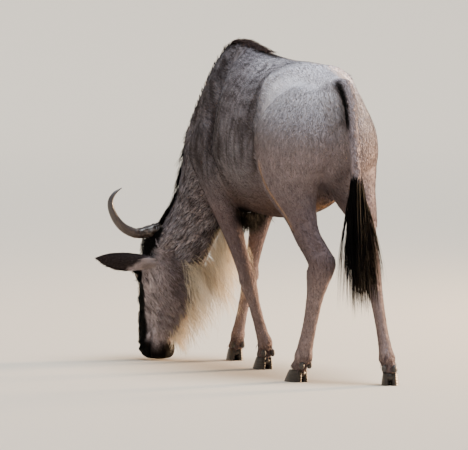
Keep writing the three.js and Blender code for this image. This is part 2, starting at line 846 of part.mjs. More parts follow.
// The end of the neck that belongs to the head
function nape(grow = 0) {
  return loft(NECK_ROWS, { ...NECK, grow }).intersect(ahead(POLL_CUT, GAP - grow));
}

function hornsAndEars(grow) {
  return [1, -1].flatMap((sign) => [horn(sign, grow), earLoft(sign, { grow })]);
}

function neck() {
  const random = randomSource(HAIR_SEED + 1);
  const flesh = loft(NECK_ROWS, NECK).intersect(behind(POLL_CUT));
  const mane = union([
    maneCore(spread(7, 0.6, 5, neckCrest), 12, 13),
    ...crestLocks(spread(10, 0.6, 4.8, neckCrest), MANE_LENGTH, random),
  ]).intersect(behind(POLL_CUT));
  const fall = (share) => beardFall(onNeck(share));
  const length = (share) => beardLength(onNeck(share));
  const beard = union([
    beardCore(spread(5, 2.6, 4.9, throat), fall, length, 18),
    ...beardLocks(spread(8, 2.5, 4.8, throat), fall, length, random),
  ]).intersect(behind(BEARD_CUT));
  return without(union([flesh, mane, beard]).intersect(ahead(NECK_CUT, GAP)), [
    trunk(GAP),
    ...["left", "right"].map((side) => legLoft("fore", side, GAP)),
    loft(HEAD_ROWS, { ...HEAD, grow: GAP }),
    nape(GAP),
    ...hornsAndEars(GAP),
  ]);
}

// Hair of the head: a forelock that falls from the poll, and a short brush down the nose.
function faceHair(random) {
  return [
    ...crestLocks(spread(3, 0.7, 2.1, forehead), FORELOCK, random),
    ...crestLocks(spread(5, 2.9, 8.4, forehead), BRUSH_LENGTH, random),
  ];
}

function head() {
  const random = randomSource(HAIR_SEED + 2);
  const fall = (share) => beardFall(onHead(share));
  const length = (share) => beardLength(onHead(share));
  const beard = union([
    beardCore(spread(6, 2.6, 9.2, jaw), fall, length, 18),
    ...beardLocks(spread(7, 3, 9.3, jaw), fall, length, random),
  ])
    .intersect(ahead(BEARD_CUT, GAP))
    .subtract(loft(NECK_ROWS, { ...NECK, grow: GAP }).intersect(behind(POLL_CUT, -GAP)));
  const brush = maneCore(spread(5, 1.2, 9.5, forehead), 7, 18);
  const flesh = [loft(HEAD_ROWS, HEAD), nape(), brush, ...faceHair(random), beard];
  const details = [orbit(1), orbit(-1), lids(1), lids(-1)];
  const holes = [1, -1].flatMap((sign) => [eyeball(sign, GAP), nostril(sign)]);
  return without(union([...flesh, ...details]), [...hornsAndEars(GAP), ...holes, mouthSlit()]);
}

function tailTuft() {
  const legs = ["left", "right"].map((side) => legLoft("hind", side, GAP));
  const hair = union([loft(TUFT_ROWS, TUFT), ...tuftLocks(18, randomSource(HAIR_SEED + 3))]);
  return without(hair.intersect(ahead(TUFT_CUT, GAP)), legs);
}

const model = new THREE.Group();
const material = (name, color, roughness) =>
  new THREE.MeshStandardMaterial({ name, color, roughness, metalness: 0 });
const COAT = material("coat", 0x7d7370, 0.9);
const LOWER_COAT = material("lower_coat", 0x6d5d55, 0.9);
const MANE = material("mane", 0x1c1917, 0.85);
const HORN = material("horn", 0x6f6a68, 0.5);
const HOOF = material("hoof", 0x262220, 0.55);
const EYE_DARK = material("eye", 0x1a120c, 0.1);

function addNode(name, solid, finish) {
  const mesh = largest(solid).getMesh();
  const geometry = new THREE.BufferGeometry();
  const positions = new Float32Array(mesh.numVert * 3);
  for (let i = 0; i < mesh.numVert; i++) {
    positions.set(mesh.vertProperties.subarray(i * mesh.numProp, i * mesh.numProp + 3), i * 3);
  }
  geometry.setAttribute("position", new THREE.BufferAttribute(positions, 3));
  geometry.setIndex(new THREE.BufferAttribute(mesh.triVerts, 1));
  const node = new THREE.Mesh(geometry, finish);
  node.name = name;
  model.add(node);
}

addNode("torso", torso(), COAT);
for (const [pair, side] of LEGS) {
  const leg = without(legBelow(pair, side), [
    ...dewclaws(pair, side, GAP),
    loft(TAIL_ROWS, { ...TAIL, grow: GAP }),
  ]);
  addNode(`${pair}_leg_${side}`, leg, LOWER_COAT);
  addNode(`${pair}_hoof_${side}`, hoof(pair, side), HOOF);
  dewclaws(pair, side).forEach((claw, i) => {
    addNode(`${pair}_dewclaw_${side}_${["outer", "inner"][i]}`, claw, HOOF);
  });
}
addNode("neck", neck(), COAT);
addNode("head", head(), COAT);
for (const [side, sign] of [["left", 1], ["right", -1]]) {
  addNode(`horn_${side}`, horn(sign), HORN);
  addNode(`ear_${side}`, ear(sign), COAT);
  addNode(`eye_${side}`, eyeball(sign), EYE_DARK);
}
addNode("tail", loft(TAIL_ROWS, TAIL).intersect(behind(TUFT_CUT)), COAT);
addNode("tail_tuft", tailTuft(), MANE);

// The middle of the whole outline, on the floor, goes to the origin.
const middle = new THREE.Box3().setFromObject(model).getCenter(new THREE.Vector3());
model.position.set(-middle.x, -middle.y, 0);

export default model;
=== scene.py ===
"""A grazing blue wildebeest cow, life size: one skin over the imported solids, a coat of short tufts,
long hair on the neck, face, throat and tail, horns, hooves and eyes. Blender works in metres. The
tables of the body are in millimetres, head towards -X and her left side towards -Y, and `place`
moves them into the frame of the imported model."""

import math

import bmesh
import bpy
import numpy as np
from mathutils import Matrix, Vector


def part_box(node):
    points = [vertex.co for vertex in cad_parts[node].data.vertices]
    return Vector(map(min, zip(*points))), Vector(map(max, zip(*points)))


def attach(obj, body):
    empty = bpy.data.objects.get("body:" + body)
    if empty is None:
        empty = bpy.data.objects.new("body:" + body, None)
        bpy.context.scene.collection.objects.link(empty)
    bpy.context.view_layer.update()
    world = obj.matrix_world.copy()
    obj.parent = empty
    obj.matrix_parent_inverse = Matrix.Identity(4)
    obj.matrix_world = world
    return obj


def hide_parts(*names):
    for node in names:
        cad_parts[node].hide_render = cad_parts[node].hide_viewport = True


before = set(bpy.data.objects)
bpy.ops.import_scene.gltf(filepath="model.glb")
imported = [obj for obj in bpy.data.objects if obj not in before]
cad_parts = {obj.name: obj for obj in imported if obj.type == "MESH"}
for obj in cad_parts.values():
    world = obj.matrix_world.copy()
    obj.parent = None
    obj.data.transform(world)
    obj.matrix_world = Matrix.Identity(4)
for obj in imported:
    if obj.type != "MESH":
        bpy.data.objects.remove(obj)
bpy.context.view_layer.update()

MM = 0.001
SEED = 7
rng = np.random.default_rng(SEED)

# Colours, as sRGB values from 0 to 255
# Silver with painted sky sheen: the rump's top and the painted highlight along the back
SILVER_AND_SKY_SHEEN = (220, 220, 232)
TAUPE = (134, 122, 126)
UMBER = (88, 76, 76)
BRINDLE = (44, 37, 37)
DARK_BELLY = (74, 56, 49)
SOOT = (12, 10, 10)
CREAM = (250, 241, 222)
STRAW = (206, 186, 156)
BUFF = (178, 142, 108)
HORN_GREY = (70, 62, 60)
HORN_BROWN = (46, 38, 35)
HOOF_BLACK = (40, 35, 33)
CLAW_GREY = (62, 60, 60)
BOSS_GREY = (124, 117, 112)
EYE_BROWN = (44, 24, 12)
PUPIL_BLACK = (4, 4, 5)
GREY_COAT = (136, 134, 143)
LEG_BROWN = (110, 97, 100)
PALE_LEG = (142, 127, 127)
CHEEK = (174, 162, 166)
EAR_BROWN = (50, 45, 46)
PALE_EAR = (172, 156, 150)
HORN_TIP = (64, 66, 72)
STUDIO = (214, 205, 190)
SKY = (206, 222, 248)
DOCK_SIDE = 1  # the side of the dock that has the black streak


def linear(colour):
    """Linear light of an sRGB colour: the share of 255, to the power 2.2."""
    return (np.asarray(colour, float) / 255) ** 2.2


# Vectors

def unit(v):
    """Each row scaled to length one."""
    return v / np.maximum(np.linalg.norm(v, axis=-1, keepdims=True), 1e-12)


def dots(a, b):
    """Row by row dot product, kept as a column."""
    return np.sum(a * b, axis=-1, keepdims=True)


def turned(v, axis, degrees):
    """v turned about a unit axis by Rodrigues' formula: the part along the axis stays."""
    a = math.radians(degrees)
    v, axis = np.asarray(v, float), np.asarray(axis, float)
    return v * math.cos(a) + np.cross(axis, v) * math.sin(a) + axis * np.dot(axis, v) * (1 - math.cos(a))


def smooth_step(x, low, high):
    """0 below low, 1 above high, and an S between: 3x squared minus 2x cubed."""
    f = np.clip((x - low) / (high - low), 0, 1)
    return f * f * (3 - 2 * f)


UP = np.array([0.0, 0, 1])
AHEAD = np.array([-1.0, 0, 0])
REAR = np.array([1.0, 0, 0])

# Body tables: [x, y, z, front, back, side, frontPower, backPower] along each path

TRUNK_ROWS = [
    [-742, -108, 880, 90, 70, 44, 2, 2],
    [-722, -102, 866, 208, 140, 86, 2, 2],
    [-670, -92, 848, 328, 225, 94, 2.1, 1.9],
    [-594, -68, 832, 402, 270, 124, 1.95, 1.6],
    [-500, -38, 818, 422, 248, 122, 1.75, 1.4],
    [-400, -16, 812, 412, 230, 192, 1.7, 0.95],
    [-280, -5, 815, 386, 240, 222, 1.95, 1.2],
    [-150, 0, 822, 364, 250, 228, 2, 1.6],
    [-20, 0, 828, 350, 246, 220, 2.1, 2.1],
    [80, 0, 845, 336, 236, 208, 2.6, 2.1],
    [200, 0, 885, 303, 215, 204, 2.9, 2],
    [310, 0, 925, 246, 190, 166, 2.3, 2],
    [395, 0, 945, 194, 150, 128, 2, 2],
    [450, 0, 950, 150, 114, 92, 2, 2],
    [486, 0, 952, 96, 76, 58, 2, 2],
    [500, 0, 952, 40, 34, 24, 2, 2],
]
NECK_ROWS = [
    [-520, -40, 930, 190, 190, 120, 1.7, 2],
    [-612, -66, 815, 172, 176, 128, 1.7, 2],
    [-674, -98, 694, 128, 154, 106, 1.7, 2],
    [-728, -136, 585, 90, 140, 88, 1.7, 2],
    [-778, -176, 492, 84, 148, 78, 1.8, 2],
    [-812, -210, 420, 80, 160, 74, 1.9, 2],
]
# Girths: [place along the joints, front, back, side]
HIND_GIRTHS = [
    [0, 70, 80, 44],
    [0.3, 128, 130, 80],
    [0.65, 168, 160, 112],
    [1, 188, 172, 128],
    [1.5, 178, 160, 122],
    [2, 148, 140, 104],
    [2.5, 116, 78, 78],
    [3, 76, 60, 54],
    [3.4, 68, 44, 43],
    [3.75, 56, 56, 38],
    [4, 60, 62, 36],
    [4.12, 66, 54, 34],
    [4.35, 43, 38, 28],
    [4.65, 30, 36, 25],
    [4.88, 32, 38, 27],
    [5, 34, 46, 31],
    [5.45, 29, 36, 29],
    [6, 35, 34, 33],
]
FORE_GIRTHS = [
    [0, 60, 60, 38],
    [0.4, 98, 98, 62],
    [1, 112, 120, 86],
    [1.5, 96, 106, 80],
    [2, 72, 80, 57],
    [2.3, 52, 58, 44],
    [2.6, 40, 42, 35],
    [2.85, 35, 36, 32],
    [3, 37, 36, 35],
    [3.12, 33, 34, 32],
    [3.4, 26, 30, 26],
    [3.7, 25, 30, 25],
    [3.9, 28, 36, 27],
    [4, 31, 45, 30],
    [4.45, 28, 35, 28],
    [5, 35, 33, 32],
]
JOINTS = {
    "hind_left": [[330, -84, 1075], [318, -130, 900], [300, -134, 755], [352, -118, 610],
                  [476, -92, 432], [378, -126, 100], [352, -136, 46]],
    "hind_right": [[345, 38, 1075], [348, 44, 900], [346, 66, 755], [402, 98, 610],
                   [540, 76, 432], [616, 106, 104], [626, 116, 46]],
    "fore_left": [[-520, -84, 1040], [-562, -124, 830], [-498, -107, 640], [-338, -66, 335],
                  [-258, -30, 100], [-268, -28, 46]],
    "fore_right": [[-530, 40, 1040], [-608, 98, 830], [-590, 100, 630], [-668, 72, 338],
                   [-708, 36, 102], [-732, 34, 46]],
}
TOE_OUT = {"hind": 22, "fore": 8}  # degrees that the feet turn outwards
TAIL_ROWS = [
    [415, 2, 1085, 34, 34, 34],
    [468, 2, 1078, 30, 30, 32],
    [514, 1, 1034, 25, 25, 29],
    [546, -2, 950, 21, 21, 26],
    [574, -5, 860, 18, 18, 24],
    [592, -5, 770, 17, 17, 23],
    [602, -1, 690, 15, 15, 20],
    [608, 4, 640, 9, 9, 12],
]
UDDER = {"centre": (232, -14, 682), "half": (92, 56, 52)}

# Head frame: face looks out of the forehead, down runs from the poll to the muzzle, left is her left
HEAD_YAW = 29
HEAD_TILT = 4.3
POLL = np.array([-846.0, -228, 506])
HEADING = turned(AHEAD, UP, HEAD_YAW)
LEFT = turned(HEADING, UP, 90)
FACE = turned(HEADING, LEFT, -HEAD_TILT)
DOWN = unit(-np.cross(FACE, LEFT))
HEAD_AXES = np.array([LEFT, FACE, DOWN])

# Rows of [down, ahead of the axis, behind it, half width, facePower, jawPower]
HEAD_TABLE = [
    [-16, 14, 20, 20, 2, 2],
    [0, 38, 52, 50, 2.2, 2],
    [40, 54, 86, 66, 2.4, 2],
    [90, 61, 112, 74, 2.5, 2],
    [140, 65, 146, 77, 2.5, 2],
    [190, 68, 166, 74, 2.5, 1.9],
    [240, 70, 166, 67, 2.5, 1.9],
    [300, 71, 145, 58, 2.5, 1.9],
    [360, 67, 112, 53, 2.5, 2],
    [410, 61, 90, 54, 2.6, 2.1],
    [456, 55, 88, 61, 2.6, 2.2],
    [486, 42, 78, 57, 2.4, 2.2],
    [500, 20, 50, 40, 2.2, 2],
]
EYE = {"left": 67, "face": 33, "down": 176, "radius": 20}
ORBIT = {"left": 55, "face": 24, "down": 174, "half": (28, 37, 38)}
MOUTH = {"face": -22, "from": 402}
NOSTRIL = {"left": 40, "face": 34, "down": 456}
EAR_ROOT = (60, -18, 118)
EAR_TIP = (220, 141, 128)
EAR_TABLE = [
    [0, 22, 13],
    [0.12, 25, 12],
    [0.3, 33, 11],
    [0.5, 36, 10],
    [0.7, 31, 8.5],
    [0.86, 20, 6.5],
    [0.96, 10, 4],
    [1, 3, 2],
]
HORN_TABLE = [
    [14, -6, 2, 27],
    [40, 6, -4, 25],
    [105, 28, -15, 20],
    [140, 42, -6, 19],
    [170, 55, 12, 17.5],
    [196, 67, 42, 15.5],
    [214, 76, 80, 13],
    [217, 78, 112, 10.5],
    [202, 72, 140, 7],
    [176, 61, 160, 2],
]


def head_point(left, face, down):
    """A point of the head: left of the middle, ahead of the face's axis, and down from the poll."""
    return POLL + sum(np.multiply.outer(*pair) for pair in ((left, LEFT), (face, FACE), (down, DOWN)))


def in_head(points):
    """The inverse of head_point: columns left, face and down."""
    return (points - POLL) @ HEAD_AXES.T


def eye_centre(sign):
    return head_point(sign * EYE["left"], EYE["face"], EYE["down"])


# The frame's place: the left eye's node shows where the tables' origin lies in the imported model.
low, high = (np.array(corner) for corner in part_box("eye_left"))
SHIFT = (low + high) / 2 - eye_centre(1) * MM


def place(points):
    """Millimetres of the tables to metres of the frame."""
    return np.asarray(points) * MM + SHIFT


def unplace(points):
    return (np.asarray(points) - SHIFT) / MM


# Lofts

def spline(rows, t):
    """Catmull-Rom value of a table of rows at fractional row numbers: a cubic through the two rows
    on either side, with each row's slope taken from its neighbours."""
    last = len(rows) - 1
    i = np.clip(np.floor(t).astype(int), 0, last - 1)
    f = (t - i)[:, None]
    before, here, after, beyond = (rows[np.clip(i + k, 0, last)] for k in (-1, 0, 1, 2))
    f2, f3 = f * f, f**3
    return (
        (2 * f3 - 3 * f2 + 1) * here
        + (f3 - 2 * f2 + f) * (after - before) / 2
        + (3 * f2 - 2 * f3) * after
        + (f3 - f2) * (beyond - here) / 2
    )


def rows_of(table):
    """A table as an array with eight columns: rings with no powers are ellipses."""
    rows = np.array(table, float)
    if rows.shape[1] < 8:
        rows = np.hstack([rows, np.full((len(rows), 8 - rows.shape[1]), 2.0)])
    return rows


def leg_table(joints, girths):
    """Girth rows carried by straight lines between the joints."""
    joints = np.array(joints, float)
    girths = np.array(girths, float)
    i = np.minimum(girths[:, 0].astype(int), len(joints) - 2)
    f = (girths[:, 0] - i)[:, None]
    return np.hstack([joints[i] * (1 - f) + joints[i + 1] * f, girths[:, 1:]])


class Loft:
    """A body carried along a path, with rings that have their own front, back and side."""

    def __init__(self, name, table, ahead):
        self.name = name
        self.rows = rows_of(table)
        self.ahead = unit(np.array(ahead, float))
        self.last = len(self.rows) - 1

    def tangent(self, t):
        """The path's way at t, over three quarters of a row to each side."""
        step = 0.75
        after = spline(self.rows, np.minimum(t + step, self.last))[:, :3]
        before = spline(self.rows, np.maximum(t - step, 0))[:, :3]
        return unit(after - before)

    def axes(self, t):
        tangent = self.tangent(t)
        front = unit(self.ahead - tangent * dots(tangent, self.ahead))
        return tangent, front, np.cross(tangent, front)

    def points(self, t, angle, grow=0.0):
        """Superellipse rings: cosine and sine of the angle, each to the power 2 over the ring's own,
        times the half sizes towards the front or back and the side."""
        sample = spline(self.rows, t)
        _, front, across = self.axes(t)
        c, s = np.cos(angle), np.sin(angle)
        power = np.where(c > 0, sample[:, 6], sample[:, 7])
        reach = np.where(c > 0, sample[:, 3], sample[:, 4]) + grow
        along = np.sign(c) * np.abs(c) ** (2 / power) * reach
        aside = np.sign(s) * np.abs(s) ** (2 / np.maximum(power, 2)) * (sample[:, 5] + grow)
        return sample[:, :3] + front * along[:, None] + across * aside[:, None]

    def surface(self, t, angle):
        """Point, way out and way along the path at places on the loft."""
        t, angle = np.atleast_1d(t).astype(float), np.atleast_1d(angle).astype(float)
        here = self.points(t, angle)
        aside = self.points(t, angle + 0.03) - here
        onward = self.points(np.minimum(t + 0.05, self.last), angle) - self.points(
            np.maximum(t - 0.05, 0), angle
        )
        out = unit(np.cross(aside, onward))
        centre = spline(self.rows, t)[:, :3]
        flip = np.sign(dots(out, here - centre))
        return here, out * flip, unit(onward)

    def grid(self, rings, sides, grow=0.0):
        t = np.repeat(np.linspace(0, self.last, rings), sides)
        angle = np.tile(np.arange(sides) * 2 * math.pi / sides, rings)
        return self.points(t, angle, grow)

    def nearest(self, points, samples=160):
        """For each point: place along the path, angle round it, and distance over the ring's reach."""
        t = np.linspace(0, self.last, samples)
        path = spline(self.rows, t)[:, :3]
        best = np.empty(len(points), int)
        for start in range(0, len(points), 20000):
            part = points[start:start + 20000]
            gap = (part**2).sum(1)[:, None] - 2 * part @ path.T + (path**2).sum(1)
            best[start:start + 20000] = gap.argmin(1)
        place_t = t[best]
        _, front, across = self.axes(place_t)
        rel = points - path[best]
        x, y = (rel * front).sum(1), (rel * across).sum(1)
        sample = spline(self.rows, place_t)
        reach = np.where(x > 0, sample[:, 3], sample[:, 4])
        share = np.sqrt((x / reach) ** 2 + (y / sample[:, 5]) ** 2)
        beyond = np.abs((rel * self.tangent(place_t)).sum(1)) / sample[:, 5]
        return place_t, np.arctan2(y / sample[:, 5], x / reach), share + beyond


def toe_direction(leg):
    pair, side = leg.split("_")
    outward = 1 if side == "left" else -1
    return turned(AHEAD, UP, TOE_OUT[pair] * outward)


LEGS = ["hind_left", "hind_right", "fore_left", "fore_right"]
GIRTHS = {"hind": HIND_GIRTHS, "fore": FORE_GIRTHS}
TRUNK = Loft("trunk", TRUNK_ROWS, UP)
NECK = Loft("neck", NECK_ROWS, UP)
HEAD = Loft(
    "head",
    [[*head_point(0, 0, down), *sizes] for down, *sizes in HEAD_TABLE],
    FACE,
)
TAIL = Loft("tail", TAIL_ROWS, (1, 0, 0.4))
LEG_LOFTS = {leg: Loft(leg, leg_table(JOINTS[leg], GIRTHS[leg[:4]]), toe_direction(leg)) for leg in LEGS}
LOFTS = [TRUNK, NECK, HEAD, TAIL, *LEG_LOFTS.values()]


# Skin

COAT_DEPTH = {"trunk": 7, "neck": 7, "head": 4, "tail": 4, "hind": 4, "fore": 4}
VOXEL = 8.48  # keeps the skin under 200,000 triangles
FLESH_NODES = ["torso", "neck", "head", "tail", *[leg.replace("_", "_leg_") for leg in LEGS]]
BALL_RINGS, BALL_SIDES = 24, 32
LEG_RINGS, LEG_SIDES = 150, 44
BODY_GRIDS = [(TRUNK, 150, 96), (NECK, 90, 72), (HEAD, 130, 72), (TAIL, 90, 32)]  # rings and sides


def tube_faces(rings, sides):
    """Quads between neighbouring rings, then a fan of triangles to a pole at each end."""
    ring, side = np.meshgrid(np.arange(rings - 1), np.arange(sides), indexing="ij")
    a = (ring * sides + side).ravel()
    b = (ring * sides + (side + 1) % sides).ravel()
    quads = np.stack([a, b, b + sides, a + sides], 1)
    k = np.arange(sides)
    after = (k + 1) % sides
    first, last = rings * sides, rings * sides + 1
    end = (rings - 1) * sides
    start_fan = np.stack([after, k, np.full(sides, first)], 1)
    end_fan = np.stack([end + k, end + after, np.full(sides, last)], 1)
    return quads.tolist() + start_fan.tolist() + end_fan.tolist()


def closed_tube(grid, sides):
    """A tube's points with a pole in the middle of each end ring."""
    poles = [grid[:sides].mean(0), grid[-sides:].mean(0)]
    return np.vstack([grid, poles])


def linked(name, data):
    """A new object in the scene for a mesh, lamp or camera."""
    obj = bpy.data.objects.new(name, data)
    bpy.context.scene.collection.objects.link(obj)
    return obj


def make_object(name, points, faces):
    """A mesh object from points in millimetres of the tables."""
    mesh = bpy.data.meshes.new(name)
    mesh.from_pydata(place(points).tolist(), [], faces)
    mesh.update()
    return linked(name, mesh)


def add_tube(name, tube, rings, sides):
    return make_object(name, tube, tube_faces(rings, sides))


def joined_tubes(shells):
    """Several tubes as one set of points and faces. Each comes with its rings and sides."""
    points, faces, start = [], [], 0
    for grid, rings, sides in shells:
        points.append(closed_tube(grid, sides))
        faces += [[start + i for i in face] for face in tube_faces(rings, sides)]
        start += len(points[-1])
    return np.vstack(points), faces


def smooth_shaded(mesh):
    mesh.polygons.foreach_set("use_smooth", np.ones(len(mesh.polygons), bool))


def settle(obj, finish, slot, *nodes):
    """A finished piece: its material, the body it rides on, and the nodes it replaces, which it hides. The
    slot is not used.
    """
    obj.data.materials.append(finish)
    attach(obj, "root")
    if nodes:
        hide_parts(*nodes)


def ellipsoid_shell(centre, half, axes, rings=BALL_RINGS, sides=BALL_SIDES):
    """Points of an ellipsoid as rings from pole to pole, on three axes given as rows."""
    polar = np.repeat(np.linspace(0.06, math.pi - 0.06, rings), sides)
    around = np.tile(np.arange(sides) * 2 * math.pi / sides, rings)
    local = np.stack([np.sin(polar) * np.cos(around), np.sin(polar) * np.sin(around), np.cos(polar)], 1)
    return np.asarray(centre) + (local * half) @ np.asarray(axes)


def flesh_shells():
    """Every form of the flesh as its own closed tube, smaller than the solids by the coat's depth."""
    legs = [(loft, LEG_RINGS, LEG_SIDES) for loft in LEG_LOFTS.values()]
    shells = [
        (loft.grid(rings, sides, -COAT_DEPTH[loft.name.split("_")[0]]), rings, sides)
        for loft, rings, sides in BODY_GRIDS + legs
    ]
    balls = [(UDDER["centre"], UDDER["half"], np.eye(3))]
    for sign in (1, -1):
        centre = head_point(sign * ORBIT["left"], ORBIT["face"], ORBIT["down"])
        balls.append((centre, ORBIT["half"], HEAD_AXES))
    return shells + [(ellipsoid_shell(*ball), BALL_RINGS, BALL_SIDES) for ball in balls]


def joined_flesh():
    """All tubes in one object, joined and evened out by a voxel remesh."""
    rough = make_object("rough_flesh", *joined_tubes(flesh_shells()))
    remesh = rough.modifiers.new("remesh", "REMESH")
    remesh.mode = "VOXEL"
    remesh.voxel_size = VOXEL * MM
    evaluated = rough.evaluated_get(bpy.context.evaluated_depsgraph_get())
    mesh = bpy.data.meshes.new_from_object(evaluated)
    bpy.data.objects.remove(rough)
    return mesh


def column_table(items, name, columns=3, kind=float):
    """One property of all vertices, edges or faces, a row for each."""
    values = np.empty(len(items) * columns, kind)
    items.foreach_get(name, values)
    return values.reshape(-1, columns)


def mesh_points(mesh):
    """The points, in millimetres of the tables."""
    return unplace(column_table(mesh.vertices, "co"))


def mesh_edges(mesh):
    return column_table(mesh.edges, "vertices", 2, int)


def mesh_normals(mesh):
    return column_table(mesh.vertices, "normal")


def set_points(mesh, points):
    mesh.vertices.foreach_set("co", place(points).ravel())
    mesh.update()


def neighbour_mean(values, edges):
    """Mean of each vertex's neighbours along the edges."""
    count = np.bincount(edges.ravel(), minlength=len(values))[:, None]
    total = np.empty_like(values)
    for column in range(values.shape[1]):
        total[:, column] = np.bincount(edges[:, 0], values[edges[:, 1], column], len(values))
        total[:, column] += np.bincount(edges[:, 1], values[edges[:, 0], column], len(values))
    return total / np.maximum(count, 1)


def relaxed(points, edges, rounds, weight=1.0):
    """Taubin smoothing: a step towards the neighbours' mean, then a slightly larger step away."""
    for _ in range(rounds):
        for step in (0.55, -0.57):
            points = points + weight * step * (neighbour_mean(points, edges) - points)
    return points


def evened(points, edges, rounds, weight):
    """Plain smoothing: each round goes half the way to the neighbours' mean."""
    for _ in range(rounds):
        points = points + 0.5 * weight * (neighbour_mean(points, edges) - points)
    return points


def subdivided(mesh, chosen):
    """Splits each chosen face in four, and joins the rest to them with triangles."""
    work = bmesh.new()
    work.from_mesh(mesh)
    work.faces.ensure_lookup_table()
    faces = [work.faces[i] for i in np.flatnonzero(chosen)]
    edges = list({edge for face in faces for edge in face.edges})
    bmesh.ops.subdivide_edges(work, edges=edges, cuts=1, use_grid_fill=True)
    bmesh.ops.triangulate(work, faces=[f for f in work.faces if len(f.verts) > 4])
    work.to_mesh(mesh)
    work.free()


def face_centres(mesh):
    return unplace(column_table(mesh.polygons, "center"))


# Muscles, bones and folds as bumps on the skin: each runs between two places on a loft, given as
# [loft, row and angle in degrees of one end, of the other end, radius, height], in millimetres

FORMS = [
    ["trunk", 9.6, 26, 7.0, 30, 44, -5],
    ["trunk", 4.25, 30, 4.3, 100, 40, -14],
    ["trunk", 3.6, 26, 4.1, 66, 40, 9],
    ["trunk", 3.0, 50, 3.3, 80, 44, 8],
    ["trunk", 6.2, 70, 6.0, 120, 30, 3],
    ["trunk", 7.0, 70, 6.8, 125, 30, 3],
    ["trunk", 7.8, 70, 7.7, 125, 30, 3],
    ["trunk", 13.2, 0, 9.0, 0, 34, 5],
]
LEG_FORMS = {
    "hind": [
        [1.6, 150, 3.3, 165, 38, 7],
        [4.5, 62, 7.4, 62, 15, 6],
        [4.5, -62, 7.4, -62, 15, 6],
        [2.0, 100, 5.0, 112, 22, -5],
        [3.0, 48, 6.2, 24, 34, 8],
        [3.2, 28, 6.4, 4, 16, -5],
        [7.6, 118, 9.2, 120, 20, -9],
        [7.6, -118, 9.2, -120, 20, -9],
        [9.8, 165, 10.2, 180, 15, 6],
        [11.6, 112, 13.6, 112, 9, -4.5],
        [11.6, -112, 13.6, -112, 9, -4.5],
        [15.2, 60, 15.2, 110, 14, 3],
        [15.2, -60, 15.2, -110, 14, 3],
    ],
    "fore": [
        [2.0, 95, 3.4, 110, 40, 7],
        [4.6, 100, 7.0, 105, 16, -4],
        [8.0, 0, 8.2, 0, 16, 4],
        [7.9, 70, 8.1, 110, 12, 3],
        [7.9, -70, 8.1, -110, 12, 3],
        [9.8, 112, 11.8, 112, 9, -4],
        [9.8, -112, 11.8, -112, 9, -4],
    ],
}


# Hip bone, front edge of the haunch, flank fold and croup: both ends for the left side, in x, y and z
HAUNCH_FORMS = [
    [(112, -165, 1112), (110, -205, 930), 34, 14],
    [(36, -160, 1110), (34, -205, 900), 44, -13],
    [(110, -205, 930), (140, -206, 800), 30, 8],
    [(92, -206, 780), (190, -160, 600), 30, -8],
    [(130, -150, 1125), (230, -40, 1165), 30, 8],
    [(250, -120, 1130), (370, -60, 1085), 42, -8],
    [(300, -190, 900), (330, -150, 780), 60, 6],
]


def form_segments():
    """Every form as two end points, a radius and a height. The trunk and haunch have both sides."""
    segments = []
    for start, end, radius, height in HAUNCH_FORMS:
        for side in (1, -1):
            mirror = np.array([1, side, 1])
            segments.append((start * mirror, end * mirror, radius, height))
    lofts, rows = [], []
    for name, *numbers in FORMS:
        for side in (1, -1) if numbers[1] or numbers[3] else (1,):
            t0, a0, t1, a1, radius, height = numbers
            lofts.append(TRUNK)
            rows.append([t0, a0 * side, t1, a1 * side, radius, height])
    for leg, loft in LEG_LOFTS.items():
        for numbers in LEG_FORMS[leg[:4]]:
            lofts.append(loft)
            rows.append(numbers)
    for loft, (t0, a0, t1, a1, radius, height) in zip(lofts, rows):
        start, _, _ = loft.surface(t0, math.radians(a0))
        end, _, _ = loft.surface(t1, math.radians(a1))
        segments.append((start[0], end[0], radius, height))
    return segments


def segment_distance(points, start, end):
    """Distance of each point from the stretch between two points."""
    way = end - start
    share = np.clip(((points - start) @ way) / max(way @ way, 1e-9), 0, 1)
    return np.linalg.norm(points - start - share[:, None] * way, axis=1)


def muscle_height(points):
    """Sum of soft ridges and hollows: each form's height times e to the minus squared share of its
    radius."""
    height = np.zeros(len(points))
    for start, end, radius, rise in form_segments():
        height += rise * np.exp(-((segment_distance(points, start, end) / radius) ** 2))
    return height


# The head's own forms, in left, face and down

LID = {"long": 19.0, "high": 12.5, "thick": 3.2, "slant": 16}
GAZE_AHEAD = 0.42  # how far the eyes look ahead, as a share of how far they look aside


def eye_frame(sign):
    """Centre and axes of an eye: along the slit, across it, and out of the head."""
    outward = unit(LEFT * sign + FACE * GAZE_AHEAD)
    along = unit(DOWN - outward * np.dot(DOWN, outward))
    along = turned(along, outward, sign * LID["slant"])
    return eye_centre(sign), along, np.cross(outward, along), outward


def eye_opening(points, sign):
    """Place round the eye: 1 on the almond rim of the lids, more outside it, and the height there."""
    centre, along, across, outward = eye_frame(sign)
    rel = points - centre
    u, v, w = rel @ along, rel @ across, rel @ outward
    narrow = LID["high"] * (1 - 0.35 * np.clip(np.abs(u) / LID["long"], 0, 1) ** 2)
    return np.sqrt((u / LID["long"]) ** 2 + (v / narrow) ** 2), np.hypot(u, v), w


def nearest_eye(points):
    """Place round the nearer eye, as in eye_opening, and far outside for points behind that eye."""
    rings = []
    for sign in (1, -1):
        ring, _, w = eye_opening(points, sign)
        rings.append(np.where(w > -14, ring, 9))
    return np.minimum(*rings)


